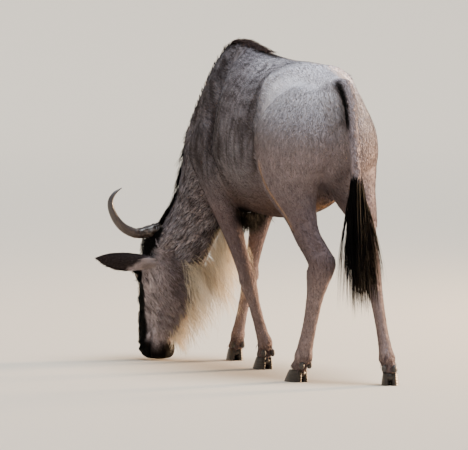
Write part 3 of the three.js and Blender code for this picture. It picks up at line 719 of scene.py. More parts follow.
def shaped_eyes(points):
    """Inside the rim the skin drops behind the eyeball. Round it a lid lies on the ball, then the
    skin runs out to the socket."""
    for sign in (1, -1):
        _, _, _, outward = eye_frame(sign)
        ring, level, w = eye_opening(points, sign)
        near = (w > -6) & (ring < 3.2)
        ball = np.sqrt(np.maximum(EYE["radius"] ** 2 - level**2, 0))
        lid = np.sqrt(np.maximum((EYE["radius"] + LID["thick"]) ** 2 - level**2, 0))
        crease = 2.2 * np.exp(-(((ring - 1.75) / 0.22) ** 2))
        target = np.where(ring < 1, ball - 5, np.maximum(lid, 2))
        hold = np.where(ring < 1, 1, 1 - smooth_step(ring, 1.35, 2.3))
        moved = w * (1 - hold) + target * hold - crease
        points = points + outward * np.where(near, moved - w, 0)[:, None]
    return points


def shaped_muzzle(points):
    """Nostrils are dents with a raised rim, the mouth is a groove with a lip on each side, and the
    nose has a shallow valley between the nostrils."""
    left, face, down = in_head(points).T
    shift = np.zeros((len(points), 3))
    for sign in (1, -1):
        rel = np.stack([left - sign * NOSTRIL["left"], face - NOSTRIL["face"], down - NOSTRIL["down"]], 1)
        slanted = rel[:, 2] + 0.5 * rel[:, 0] * sign
        ring = np.sqrt((rel[:, 0] / 17) ** 2 + (rel[:, 1] / 22) ** 2 + (slanted / 12) ** 2)
        outward = unit(LEFT * sign * 0.75 + FACE * 0.6)
        dent = -13 * np.exp(-((ring / 0.85) ** 4)) + 5 * np.exp(-(((ring - 1.55) / 0.4) ** 2))
        shift += outward * dent[:, None]
    lips = smooth_step(down, MOUTH["from"] - 12, MOUTH["from"] + 6)
    slit = np.abs(face - MOUTH["face"] + 0.02 * (down - MOUTH["from"]))
    groove = lips * (-6 * np.exp(-((slit / 3.6) ** 2)) + 2.6 * np.exp(-(((slit - 10) / 6) ** 2)))
    out = points - (POLL + np.outer(down, DOWN))
    shift += unit(out) * groove[:, None]
    return points + shift


# Cheek, jaw and brow: [left, face, down] of both ends, radius, height
HEAD_FORMS = [
    [(70, 8, 205), (56, 2, 330), 15, 5],
    [(70, -60, 190), (60, -86, 262), 48, 8],
    [(62, -34, 300), (52, -28, 372), 26, -6],
    [(64, -112, 210), (40, -96, 330), 15, -4],
    [(30, 72, 190), (34, 66, 380), 15, 4],
    [(0, 78, 180), (0, 76, 400), 18, -2],
    [(62, 44, 148), (78, 16, 150), 12, 5],
    [(76, 4, 152), (76, 2, 204), 12, 10],
    [(50, 20, 412), (50, 8, 470), 20, 5],
    [(44, -52, 452), (20, -66, 478), 18, 4],
]


def head_height(points):
    height = np.zeros(len(points))
    for start, end, radius, rise in HEAD_FORMS:
        for sign in (1, -1) if start[0] else (1,):
            a = head_point(sign * start[0], *start[1:])
            b = head_point(sign * end[0], *end[1:])
            height += rise * np.exp(-((segment_distance(points, a, b) / radius) ** 2))
    return height


SKIN_ROUNDS, HAUNCH_ROUNDS, HEAD_ROUNDS = 8, 60, 5  # of smoothing
# Where the head's faces are split: from and to in down, least distance aside, and least ahead
FINER = [(-20, 520, 0, -190), (120, 230, 40, -25), (395, 520, 0, -190)]


def skin_mesh():
    """The whole skin: joined lofts, smoothed, with muscles, then finer on the head and sculpted."""
    mesh = joined_flesh()
    edges = mesh_edges(mesh)
    points = relaxed(mesh_points(mesh), edges, SKIN_ROUNDS)
    x, _, z = points.T
    haunch = smooth_step(x, 40, 130) * smooth_step(z, 830, 930) * smooth_step(x, 470, 400)
    points = evened(points, edges, HAUNCH_ROUNDS, haunch[:, None])
    set_points(mesh, points)
    points = points + mesh_normals(mesh) * muscle_height(points)[:, None]
    set_points(mesh, points)
    for low, high, least_aside, least_ahead in FINER:
        left, face, down = in_head(face_centres(mesh)).T
        inside = (down > low) & (down < high) & (np.abs(left) < 140) & (np.abs(face) < 190)
        if least_aside:
            inside &= (np.abs(left) > least_aside) & (face > least_ahead)
        subdivided(mesh, inside)
        mesh.update()
        points = mesh_points(mesh)
        left, face, down = in_head(points).T
        soft = smooth_step(down, low - 20, low + 10) * (np.abs(left) < 150) * (np.abs(face) < 200)
        points = relaxed(points, mesh_edges(mesh), HEAD_ROUNDS, soft[:, None])
        set_points(mesh, points)
    on_head = smooth_step(in_head(points)[:, 2], 60, 130) * (HEAD.nearest(points)[2] < 1.4)
    points = points + mesh_normals(mesh) * (head_height(points) * on_head)[:, None]
    points = shaped_muzzle(points) * on_head[:, None] + points * (1 - on_head[:, None])
    set_points(mesh, shaped_eyes(points))
    return mesh


# Regions, lie and markings

REGIONS = {loft.name: i for i, loft in enumerate(LOFTS)}


class Places:
    """Where points lie on the body: each loft's share, row and angle, the nearest loft, and soft
    weights of all lofts."""

    def __init__(self, points):
        self.points = points
        found = [loft.nearest(points) for loft in LOFTS]
        self.rows = np.stack([f[0] for f in found], 1)
        self.angles = np.stack([f[1] for f in found], 1)
        self.shares = np.stack([f[2] for f in found], 1)
        self.region = self.shares.argmin(1)
        excess = self.shares - self.shares.min(1, keepdims=True)
        weight = np.exp(-excess / 0.09)
        self.weights = weight / weight.sum(1, keepdims=True)

    def weight(self, *names):
        return sum(self.weights[:, REGIONS[name]] for name in names)

    def row(self, name):
        return self.rows[:, REGIONS[name]]

    def angle(self, name):
        return np.abs(self.angles[:, REGIONS[name]])


def lie_of(places, normals):
    """The way the coat lies: back and down on the trunk, towards the body on the neck, down the
    legs, tail and face, and back over the cheeks."""
    x = places.points[:, 0]
    rump = smooth_step(x, 120, 330)[:, None]
    ways = []
    for loft in LOFTS:
        tangent = loft.tangent(places.row(loft.name))
        if loft is TRUNK:
            ways.append(REAR * (0.95 - 0.45 * rump) - UP * (0.4 + 0.5 * rump))
        elif loft is NECK:
            ways.append(-tangent * 0.9 - UP * 0.25)
        elif loft is HEAD:
            cheek = smooth_step(places.angle("head"), 0.5, 1.4)[:, None]
            ways.append(DOWN * (1 - 0.35 * cheek) - FACE * 0.55 * cheek)
        else:
            ways.append(tangent + REAR * 0.12)
    way = sum(places.weights[:, [i]] * w for i, w in enumerate(ways))
    return unit(way - normals * dots(way, normals))


class Ripple:
    """Smooth noise about -1 to 1: the mean of sixteen cosine waves with random ways and lengths."""

    def __init__(self, size, stretch=(1, 1, 1)):
        self.ways = unit(rng.normal(size=(16, 3))) * 2 * math.pi / size * rng.uniform(0.6, 1.5, (16, 1))
        self.ways = self.ways / np.array(stretch)
        self.phases = rng.uniform(0, 2 * math.pi, 16)

    def __call__(self, points):
        return np.cos(points @ self.ways.T + self.phases).sum(1) / math.sqrt(16 / 2) * 0.8


RIB_STREAK = Ripple(21, (1, 1, 13))
BRINDLE_WARP = Ripple(120, (1, 1, 4.5))
BRINDLE_BREAK = Ripple(120, (1, 1, 4.5))
BRINDLE_STEP = 50.0
MOTTLE = Ripple(58)
STREAK = Ripple(13, (1, 1, 5))
CLOUD = Ripple(260)
GRAIN = Ripple(24)


def mixed(base, colour, share):
    """Base with a share of a colour, row by row."""
    return base + (linear(colour) - base) * np.clip(share, 0, 1)[:, None]


def both_sides(points, start, end):
    """Distance from the nearer of two stretches of the head, which mirror each other."""
    gaps = []
    for side in (1, -1):
        ends = (head_point(side * left, *rest) for left, *rest in (start, end))
        gaps.append(segment_distance(points, *ends))
    return np.minimum(*gaps)


def brindle_place(places):
    """Distance along the back, then on down the neck: what the upright stripes repeat over."""
    x = places.points[:, 0]
    neck_path = spline(NECK.rows, np.linspace(0, NECK.last, 60))[:, :3]
    steps = np.linalg.norm(np.diff(neck_path, axis=0), axis=1)
    length = np.concatenate([[0], np.cumsum(steps)])
    along_neck = neck_path[0, 0] - np.interp(places.row("neck"), np.linspace(0, NECK.last, 60), length)
    share = places.weight("neck")
    return x * (1 - share) + along_neck * share


def markings(places):
    """The coat's colours: silver on the rump, partly painted sky sheen that grows towards the top, and a
    painted highlight along the top of the back;
    taupe on the haunches and legs, dark upright stripes on the neck, shoulders and ribs, and black on the
    face, crest, brisket and dock, the brisket's black partly painted shadow.
    Painted shade also lies in front of the flank fold, at the girth, over the shoulder, beside the tail and
    on the inner thighs, with a painted highlight on each thigh's front edge."""
    points = places.points
    x, y, z = points.T
    left, face, down = in_head(points).T
    trunk = places.weight("trunk")
    neck = places.weight("neck")
    head = places.weight("head")
    legs = places.weight(*LEGS)
    hind = places.weight("hind_left", "hind_right")
    colour = np.tile(linear(GREY_COAT), (len(points), 1))
    colour = mixed(colour, TAUPE, smooth_step(z, 1000, 800) * smooth_step(x, -80, 160) * 0.9)
    # Silver on the rump: partly the coat's own silver, partly painted sky sheen that grows towards the top.
    # The band along the top of the back is a painted highlight.
    crown_height = z - 0.2 * (x - 200) + 25 * CLOUD(points)
    crown_silver_and_sheen = smooth_step(x, 10, 190) * smooth_step(crown_height, 830, 1110) ** 1.7
    back_highlight = smooth_step(x, -330, -150) * smooth_step(z, 1080, 1180)
    colour = mixed(colour, SILVER_AND_SKY_SHEEN, np.maximum(crown_silver_and_sheen, 0.75 * back_highlight) * (1 - neck))
    barrel = smooth_step(x, 160, 10) * smooth_step(z, 1110, 960) * (trunk + legs - hind)
    colour = mixed(colour, UMBER, barrel * 0.45)
    colour = mixed(colour, DARK_BELLY, smooth_step(z, 800, 600) * (trunk + 0.15 * neck) * 0.9)
    colour = mixed(colour, LEG_BROWN, smooth_step(z, 760, 560) * legs)
    colour = mixed(colour, PALE_LEG, smooth_step(z, 470, 300) * legs * 0.8)
    colour = mixed(colour, UMBER, 0.2 * smooth_step(CLOUD(points), 0.1, 0.9) * (1 - head))

    stripe = np.sin(2 * math.pi * (brindle_place(places) + 24 * BRINDLE_WARP(points)) / BRINDLE_STEP)
    broken = 0.3 + 0.7 * smooth_step(BRINDLE_BREAK(points), -0.6, 0.5)
    reach = smooth_step(x, 150, 50) * smooth_step(z, 690, 840) * (trunk + neck + 0.7 * (legs - hind))
    dark = smooth_step(stripe, 0.0, 0.9) * broken * reach
    colour = mixed(colour, BRINDLE, 0.6 * dark)
    colour = mixed(colour, BRINDLE, 0.55 * smooth_step(RIB_STREAK(points), -0.1, 0.6) * reach)
    colour = mixed(colour, GREY_COAT, 0.35 * smooth_step(RIB_STREAK(points), -0.3, -0.8) * reach)
    # Painted shade in front of the flank fold, at the girth behind the elbow and over the shoulder, broken
    # by the stripes.
    shade_flank = np.exp(-((x - 55) / 75) ** 2 - ((z - 920) / 150) ** 2)
    shade_girth = np.exp(-((x + 310) / 75) ** 2 - ((z - 880) / 190) ** 2)
    shade_shoulder = smooth_step(x, -400, -520) * smooth_step(z, 620, 760)
    shades = np.clip(0.8 * shade_flank + 0.6 * shade_girth + 0.7 * shade_shoulder, 0, 1)
    shades *= 0.55 + 0.45 * smooth_step(stripe, -0.8, 0.6)
    colour = mixed(colour, BRINDLE, shades * (trunk + legs - hind))
    faint = smooth_step(stripe, 0.35, 0.95) * smooth_step(x, 330, 420) * smooth_step(z, 640, 760)
    colour = mixed(colour, UMBER, 0.4 * faint * (1 - legs))
    mauve = np.exp(-((x - 230) / 110) ** 2 - ((z - 890) / 90) ** 2) * smooth_step(-y, 60, 140)
    colour = mixed(colour, UMBER, 0.3 * mauve)
    # Painted highlight: a buff stroke along the lit front edge of each thigh.
    for leg, side in (("hind_left", -1), ("hind_right", 1)):
        row, angle = places.row(leg), places.angles[:, REGIONS[leg]] * side
        rim = smooth_step(row, 4.2, 4.9) * smooth_step(row, 7.7, 7.0)
        rim *= np.exp(-((angle - 1.08) / 0.08) ** 2)
        colour = mixed(colour, BUFF, 0.85 * rim * places.weight(leg))
    # Painted shadow in the clefts between the tail and the buttocks.
    beside_tail = places.shares[:, REGIONS["tail"]]
    gap = smooth_step(beside_tail, 2.4, 1.5) * smooth_step(z, 1060, 960) * smooth_step(z, 640, 760)
    colour = mixed(colour, BRINDLE, 0.6 * gap * (trunk + hind))

    colour = mixed(colour, UMBER, neck * 0.2)
    colour = mixed(colour, BRINDLE, neck * smooth_step(MOTTLE(points), 0.0, 0.7) * 0.7)
    colour = mixed(colour, CHEEK, neck * smooth_step(GRAIN(points), 0.2, 1.2) * 0.45)
    throat = smooth_step(places.angle("neck"), 2.2, 2.9)
    colour = mixed(colour, BRINDLE, neck * throat * 0.2)
    crest = smooth_step(places.angle("neck"), 0.30, 0.08) * neck
    withers = smooth_step(places.angle("trunk"), 0.14, 0.03) * trunk * smooth_step(x, -60, -240)
    colour = mixed(colour, SOOT, (crest + withers) * 0.9)

    cheek = head * smooth_step(down, 60, 150)
    colour = mixed(colour, CHEEK, cheek * 0.8)
    colour = mixed(colour, BRINDLE, cheek * smooth_step(MOTTLE(points), 0.2, 0.8) * 0.4)
    lower = smooth_step(down, 320, 420)
    blaze = smooth_step(face, 8 - 20 * lower, 20 - 12 * lower) * smooth_step(down, 128, 150)
    brow = smooth_step(face, 20, 40) * smooth_step(down, -10, 30)
    muzzle = smooth_step(down, 405, 440)
    pale = smooth_step(both_sides(points, (72, -27, 121), (60, -80, 51)), 40, 14)
    colour = mixed(colour, PALE_EAR, 0.4 * pale * smooth_step(STREAK(points), -1.2, 0.4))
    poll = smooth_step(down, 100, 60) * smooth_step(face, -60, -25)
    nape = smooth_step(both_sides(points, (36, -14, 14), (70, 26, 88)) + 5 * GRAIN(points), 46, 28)
    colour = mixed(colour, SOOT, nape * (head + neck))
    colour = mixed(colour, SOOT, head * np.maximum.reduce([blaze, brow, muzzle, poll]))
    lip_patch = np.exp(-((down - 418) / 30) ** 2 - ((face + 48) / 18) ** 2)
    colour = mixed(colour, CHEEK, head * lip_patch * 0.8)
    around_eye = nearest_eye(points)
    colour = mixed(colour, SOOT, head * smooth_step(around_eye, 1.6, 1.15) * 0.95)

    # Black under the chest between the forelegs: partly dark hair, partly painted shadow.
    brisket = np.exp(-((x + 500) / 190) ** 2 - ((z - 575) / 60) ** 2) * smooth_step(np.abs(y), 130, 60)
    colour = mixed(colour, SOOT, 0.95 * np.clip(brisket * 1.6, 0, 1) * (1 - head))
    udder = np.exp(-((x - 250) / 100) ** 2 - ((z - 610) / 60) ** 2)
    colour = mixed(colour, BUFF, udder * 0.8 * trunk)
    # Painted shade on the inner thighs near the middle, under the body.
    colour = mixed(colour, BRINDLE, hind * smooth_step(np.abs(y), 40, 10) * smooth_step(z, 880, 760) * 0.5)
    pastern = smooth_step(z, 105, 60) * legs
    colour = mixed(colour, BRINDLE, pastern * 0.45)

    tail = places.weight("tail")
    dock_side = smooth_step(places.angles[:, REGIONS["tail"]] * DOCK_SIDE, 0.4, 1.0)
    colour = mixed(colour, TAUPE, tail * 0.6)
    dark_tail = np.maximum(dock_side * smooth_step(z, 900, 960), smooth_step(z, 760, 700))
    colour = mixed(colour, SOOT, tail * dark_tail)
    shade = 1 + (0.10 + 0.12 * (neck + head)) * STREAK(points)
    shade += 0.06 * GRAIN(points) + 0.04 * MOTTLE(points)
    return np.clip(colour * shade[:, None], 0.002, 1)


# Tufts and locks

def strand_faces(stations, sides=3):
    """Triangles of one strand: a point at the root, rings of `sides`, and a point at the tip."""
    rings = stations - 2
    faces = [[0, 1 + (k + 1) % sides, 1 + k] for k in range(sides)]
    for ring in range(rings - 1):
        base = 1 + ring * sides
        for k in range(sides):
            a, b = base + k, base + (k + 1) % sides
            faces += [[a, b, b + sides], [a, b + sides, a + sides]]
    tip = 1 + rings * sides
    base = tip - sides
    faces += [[base + k, base + (k + 1) % sides, tip] for k in range(sides)]
    return np.array(faces)


def strand_points(root, bend, tip, across, width, thickness, stations):
    """Points of many strands at once. Each follows a quadratic curve from its root past `bend` to
    its tip. A ring has two points to the sides and one raised, and narrows towards the tip."""
    share = np.linspace(0, 1, stations)[None, :, None]
    root, bend, tip = root[:, None], bend[:, None], tip[:, None]
    path = (1 - share) ** 2 * root + 2 * share * (1 - share) * bend + share**2 * tip
    way = unit(2 * (1 - share) * (bend - root) + 2 * share * (tip - bend))
    side = unit(across[:, None] - way * dots(across[:, None], way))
    raised = np.cross(side, way)
    taper = np.minimum(1, 0.55 + 1.6 * share) * (1 - share) ** 0.55
    half = width[:, None, None] / 2 * taper
    rise = thickness[:, None, None] * taper
    ring = np.stack([path - side * half - raised * rise * 0.3, path + raised * rise * 0.7,
                     path + side * half - raised * rise * 0.3], 2)
    body = ring[:, 1:-1].reshape(len(path), -1, 3)
    return np.concatenate([path[:, :1], body, path[:, -1:]], 1)


BAKE_PATCH = 0.0015  # half a tuft's patch on the unwrap
# Each region's cell in the unwrap: u and v of its corner, width along the rows, height round them
BAKE_CELLS = {
    "trunk": (0.01, 0.52, 0.62, 0.46),
    "neck": (0.66, 0.76, 0.32, 0.22),
    "head": (0.66, 0.52, 0.32, 0.22),
    "hind_left": (0.01, 0.27, 0.48, 0.22),
    "hind_right": (0.51, 0.27, 0.48, 0.22),
    "fore_left": (0.01, 0.02, 0.36, 0.22),
    "fore_right": (0.39, 0.02, 0.36, 0.22),
    "tail": (0.77, 0.02, 0.21, 0.22),
}


def bake_places(places):
    """Each root's place on the unwrap: along its loft's rows, and round it."""
    uv = np.zeros((len(places.points), 2))
    for name, (u, v, wide, high) in BAKE_CELLS.items():
        chosen = places.region == REGIONS[name]
        index = REGIONS[name]
        uv[chosen, 0] = u + wide * places.rows[chosen, index] / LOFTS[index].last
        uv[chosen, 1] = v + high * (places.angles[chosen, index] / (2 * math.pi) + 0.5)
    return uv


def triangle_mesh(name, points, triangles, colours, uv):
    """A mesh from whole arrays, with its colours on the points and its bake map on the corners."""
    mesh = bpy.data.meshes.new(name)
    mesh.vertices.add(len(points))
    mesh.vertices.foreach_set("co", points.astype(np.float32).ravel())
    mesh.loops.add(triangles.size)
    mesh.loops.foreach_set("vertex_index", triangles.astype(np.int32).ravel())
    mesh.polygons.add(len(triangles))
    mesh.polygons.foreach_set("loop_start", np.arange(0, triangles.size, 3, dtype=np.int32))
    mesh.update(calc_edges=True)
    paint(mesh, colours)
    layer = mesh.uv_layers.new(name="OFBake")
    layer.data.foreach_set("uv", uv[triangles.ravel()].astype(np.float32).ravel())
    smooth_shaded(mesh)
    return mesh


def paint(mesh, colours):
    layer = mesh.color_attributes.new("coat_colour", "FLOAT_COLOR", "POINT")
    rgba = np.hstack([colours, np.ones((len(colours), 1))])
    layer.data.foreach_set("color", rgba.astype(np.float32).ravel())


def add_strands(name, strands, colours, tip_colours, uv, finish, slot):
    """One object from strand points. Colours run from the root's to the tip's."""
    count, each, _ = strands.shape
    stations = (each - 2) // 3 + 2
    pattern = strand_faces(stations)
    triangles = (pattern[None] + each * np.arange(count)[:, None, None]).reshape(-1, 3)
    share = np.concatenate([[0], np.repeat(np.linspace(0, 1, stations)[1:-1], 3), [1]])[None, :, None]
    painted = colours[:, None] * (1 - share) + tip_colours[:, None] * share
    side = np.concatenate([[0], np.tile([-1.0, 0, 1], stations - 2), [0]])
    patch = np.stack([share[0, :, 0] * 2 - 1, side], 1) * BAKE_PATCH
    corners = uv[:, None] + patch[None]
    mesh = triangle_mesh(
        name,
        place(strands.reshape(-1, 3)),
        triangles,
        painted.reshape(-1, 3),
        corners.reshape(-1, 2),
    )
    obj = linked(name, mesh)
    settle(obj, finish, slot)
    return obj


# Short coat: [length, width, share of overlap, lift] of the tufts of each region
TUFT_SIZES = {
    "trunk": (25, 4.4, 2.2, 1.5),
    "neck": (36, 5.8, 2.6, 5.0),
    "head": (15, 3.4, 2.4, 1.6),
    "tail": (22, 4.2, 2.4, 2.0),
    "hind": (19, 4.6, 2.4, 1.6),
    "fore": (19, 4.4, 2.4, 1.6),
}
COAT_PARTS = {
    "coat_trunk": (["trunk"], "coat"),
    "coat_neck": (["neck", "tail"], "coat"),
    "coat_head": (["head"], "coat"),
    "coat_hind_legs": (["hind_left", "hind_right"], "lower_coat"),
    "coat_fore_legs": (["fore_left", "fore_right"], "lower_coat"),
}
SKIN_SHADE = 0.9  # the skin's brightness under the coat
PIECE_LIMIT = 32000  # tufts, so that a piece stays under 200,000 triangles
LIE_ROUNDS = 12  # of smoothing of the coat's lie
TUFT_SINK = 1.6
TONE_SPREAD, SHAGGY_SPREAD = 0.18, 0.24


def vertex_fields(mesh):
    """Everything the coat needs at each vertex of the skin."""
    points, edges, normals = mesh_points(mesh), mesh_edges(mesh), mesh_normals(mesh)
    places = Places(points)
    lie = lie_of(places, normals)
    for _ in range(LIE_ROUNDS):
        lie = neighbour_mean(lie, edges)
    lie = unit(lie - normals * dots(lie, normals))
    return points, normals, places, lie


def tuft_size_at(places):
    """Tuft sizes blended over the regions."""
    table = np.array([TUFT_SIZES.get(loft.name, TUFT_SIZES.get(loft.name[:4])) for loft in LOFTS])
    sizes = places.weights @ table
    down = in_head(places.points)[:, 2]
    on_head = places.weight("head")
    cheek = on_head * smooth_step(places.angle("head"), 0.9, 1.5) * smooth_step(down, 390, 330)
    grown = 1 + 0.9 * cheek - 0.45 * on_head * smooth_step(down, 400, 450)
    lower = places.weight(*LEGS) * smooth_step(places.points[:, 2], 420, 200)
    sizes[:, 0] *= grown * (1 - 0.35 * lower)
    sizes[:, 1] *= (1 + 0.25 * cheek) * (1 - 0.2 * lower)
    sizes[:, 3] *= 1 + 1.2 * cheek
    return sizes


def bare_share(places):
    """0 where no tufts grow: on the eyes, in the nostrils, on the lips and at the hooves."""
    points = places.points
    around_eye = nearest_eye(points)
    left, face, down = in_head(points).T
    nostril = np.sqrt(
        ((np.abs(left) - NOSTRIL["left"]) / 20) ** 2
        + ((face - NOSTRIL["face"]) / 24) ** 2
        + ((down - NOSTRIL["down"]) / 16) ** 2
    )
    furry = smooth_step(around_eye, 1.25, 1.6) * smooth_step(nostril, 0.9, 1.2)
    furry *= 1 - places.weight("head") * smooth_step(down, 470, 480)
    return furry * smooth_step(points[:, 2], 44, 50)


def scatter(mesh, density):
    """Random places on the mesh: faces are drawn by area times density, in even steps, and each
    place lies between the face's corners. Gives corner indices and their weights."""
    mesh.calc_loop_triangles()
    triangles = column_table(mesh.loop_triangles, "vertices", 3, int)
    areas = column_table(mesh.loop_triangles, "area", 1)[:, 0]
    share = areas / MM**2 * density[triangles].mean(1)
    total = int(share.sum())
    steps = (np.arange(total) + rng.random(total)) / total
    chosen = np.searchsorted(np.cumsum(share) / share.sum(), steps)
    chosen = np.minimum(chosen, len(triangles) - 1)
    a, b = rng.random(total), rng.random(total)
    over = a + b > 1
    a[over], b[over] = 1 - a[over], 1 - b[over]
    return triangles[chosen], np.stack([1 - a - b, a, b], 1)


def grow_coat(mesh, fields, finish):
    """Thin overlapping tufts all over the skin, along its lie."""
    points, normals, places, lie = fields
    sizes = tuft_size_at(places)
    density = sizes[:, 2] / (sizes[:, 0] * sizes[:, 1]) * bare_share(places)
    corners, weights = scatter(mesh, density)

    def at(values):
        return (values[corners] * weights[:, :, None]).sum(1)

    root, out, way, size = at(points), unit(at(normals)), unit(at(lie)), at(sizes)
    count = len(root)
    swing = rng.normal(0, 0.16, (count, 1))
    aside = np.cross(out, way)
    way = unit(way + aside * swing)
    length = size[:, [0]] * rng.uniform(0.7, 1.2, (count, 1))
    lift = size[:, [3]] * rng.uniform(0.4, 1.3, (count, 1))
    start = root - out * TUFT_SINK
    bend = root + way * length * 0.45 + out * lift
    tip = root + way * length + out * lift * 0.35
    width = size[:, 1] * rng.uniform(0.75, 1.2, count)
    strands = strand_points(start, bend, tip, np.cross(out, way), width, width * 0.28, 3)
    root_places = Places(root)
    shaggy = root_places.weight("neck", "head")
    tone = np.clip(rng.normal(0, TONE_SPREAD + SHAGGY_SPREAD * shaggy), -0.9, 0.45)
    colour = markings(root_places) * np.exp(tone)[:, None]
    uv = bake_places(root_places)
    region_names = np.array([loft.name for loft in LOFTS])[root_places.region]
    for name, (regions, slot) in COAT_PARTS.items():
        chosen = np.flatnonzero(np.isin(region_names, regions))
        pieces = math.ceil(len(chosen) / PIECE_LIMIT)
        for number, part in enumerate(np.array_split(chosen, pieces)):
            piece = name if pieces == 1 else f"{name}_{number + 1}"
            root_colour, tip_colour = colour[part] * 0.94, colour[part] * 1.06
            add_strands(piece, strands[part], root_colour, tip_colour, uv[part], finish, slot)


# Long hair

class Guides:
    """The middle lines of locks: root, bend and tip, with the way out of the skin and along it."""

    def __init__(self, root, bend, tip, out, along):
        self.root, self.bend, self.tip, self.out, self.along = root, bend, tip, out, along


def strands_round(guides, each, root_spread, tip_spread, width, stations, sink=7.0):
    """Each guide carries a bundle of strands: roots spread over the skin, tips drawn together."""
    count = len(guides.root) * each

    def spread_out(values):
        return np.repeat(values, each, axis=0)

    root, bend, tip = spread_out(guides.root), spread_out(guides.bend), spread_out(guides.tip)
    out, along = spread_out(guides.out), spread_out(guides.along)
    across = unit(np.cross(along, out))
    disc = rng.normal(0, 0.5, (count, 2))
    offset = along * disc[:, [0]] * root_spread + across * disc[:, [1]] * root_spread
    loose = rng.normal(0, 0.5, (count, 3)) * tip_spread
    reach = rng.uniform(0.72, 1.06, (count, 1))
    tip = root + offset * 0.45 + (tip - root) * reach + loose
    bend = root + offset * 0.9 + (bend - root) * reach + loose * 0.35
    root = root + offset - out * sink
    bend[:, 2], tip[:, 2] = np.maximum(bend[:, 2], LOWEST), np.maximum(tip[:, 2], LOWEST)
    widths = width * rng.uniform(0.65, 1.25, count)
    side = unit(across + along * rng.normal(0, 0.6, (count, 1)))
    return strand_points(root, bend, tip, side, widths, widths * 0.5, stations), root


def add_hair(name, guides, each, root_spread, tip_spread, width, stations, colours, finish, slot):
    """A piece of long hair: a bundle round each guide, with one colour at its roots and one at its tips."""
    strands, roots = strands_round(guides, each, root_spread, tip_spread, width, stations)
    places = Places(roots)
    root_colour, tip_colour = (
        np.tile(linear(c), (len(roots), 1)) * rng.uniform(0.75, 1.25, (len(roots), 1)) for c in colours
    )
    return add_strands(name, strands, root_colour, tip_colour, bake_places(places), finish, slot)


LOWEST = 12.0  # no hair hangs lower
MANE_LENGTH = 96
WITHERS_HAIR = 46
BEARD_LENGTH = (215, 250, 100)  # at the chest, under the jaw's corner, and at the chin
BEARD_SWING = (0.4, 0.36)
FORELOCK = 66
BRUSH_LENGTH = 40
TAIL_TIP_Z = (262, 440)


def crest_guides(loft, start, end, count, length, side_share, lean=0.55, rise=0.3, half_width=0.12):
    """Locks on a crest, which rise, part to both sides and lie down along the loft's path."""
    t = rng.uniform(start, end, count)
    angle = rng.normal(0, half_width, count)
    point, out, along = loft.surface(t, angle)
    size = length * rng.uniform(0.7, 1.2, (count, 1))
    across = unit(np.cross(along, out))
    side = np.where(rng.random((count, 1)) < side_share, 1, -1) * rng.uniform(0.2, 1, (count, 1))
    bend = point + out * rise * size + across * side * size * 0.22 + along * size * lean * 0.3
    tip = point + across * side * size * 0.5 + along * size * lean - out * size * 0.05
    return Guides(point, bend, tip, out, along)


def beard_length(share):
    return np.interp(share, [0, 0.5, 1], BEARD_LENGTH)


def beard_fall(share):
    """The beard hangs down and swings back towards the chest, most of all under the jaw's corner."""
    swing = BEARD_SWING[0] + BEARD_SWING[1] * np.sin(math.pi * share)
    return unit(-UP - np.outer(swing, HEADING))


def beard_guides(loft, start, end, count, shares, width=0.15, scale=1.0):
    t = rng.uniform(start, end, count)
    share = np.interp(t, [start, end], shares)
    angle = math.pi + rng.normal(0, width, count)
    point, out, along = loft.surface(t, angle)
    size = (scale * beard_length(share) * rng.uniform(0.45, 1.05, count))[:, None]
    fall = unit(beard_fall(share) + rng.normal(0, 0.13, (count, 3)))
    across = unit(np.cross(along, out))
    aside = rng.normal(0, 12, (count, 1))
    bend = point + out * size * rng.uniform(0.3, 0.6, (count, 1)) + fall * size * 0.2 + across * aside
    tip = point + fall * size + across * aside * 1.6
    return Guides(point, bend, tip, out, along)


def ruff_guides(count, rows, widest, lengths, fall):
    """Brown locks along the jaw's rear edge, out over the beard's roots."""
    t = rng.uniform(*rows, count)
    side = np.where(rng.random(count) < 0.5, 1, -1)
    angle = side * rng.uniform(widest, math.pi, count)
    point, out, along = HEAD.surface(t, angle)
    size = rng.uniform(*lengths, (count, 1))
    way = unit(DOWN * fall - FACE)
    bend = point + way * size * 0.45 + out * size * 0.22
    tip = point + way * size + out * size * 0.1
    return Guides(point, bend, tip, out, unit(along))


def tail_guides(count):
    """Locks all round the end of the tail, which fall to different heights and flare a little."""
    t = rng.uniform(4.9, 7, count)
    angle = rng.uniform(-math.pi, math.pi, count)
    point, out, along = TAIL.surface(t, angle)
    low_end = TAIL_TIP_Z[0] + (TAIL_TIP_Z[1] - TAIL_TIP_Z[0]) * rng.random(count) ** 1.2
    drop = (point[:, 2] - low_end)[:, None]
    flare = rng.uniform(6, 84, (count, 1)) * rng.uniform(0.5, 1, (count, 1))
    swing = np.array([0.05, 0.03, -1]) * drop
    level = np.stack([np.maximum(out[:, 0], -0.35), out[:, 1], np.zeros(count)], 1)
    bend = point + level * flare * 0.75 + swing * 0.45
    tip = point + level * flare + swing
    return Guides(point, bend, tip, out, along)


def fetlock_guides(each):
    """Short dark locks behind the fetlocks, round the dew claws."""
    roots, outs, downs = [], [], []
    for leg, loft in LEG_LOFTS.items():
        t = rng.uniform(loft.last - 2.2, loft.last - 0.5, each)
        angle = math.pi + rng.normal(0, 0.6, each)
        point, out, along = loft.surface(t, angle)
        roots.append(point - out * 4)
        outs.append(out)
        downs.append(along)
    root, out, along = np.vstack(roots), np.vstack(outs), np.vstack(downs)
    size = rng.uniform(16, 30, (len(root), 1))
    bend = root + out * size * 0.35 + along * size * 0.4
    tip = root + out * size * 0.3 + along * size * 0.9
    return Guides(root, bend, tip, out, along)


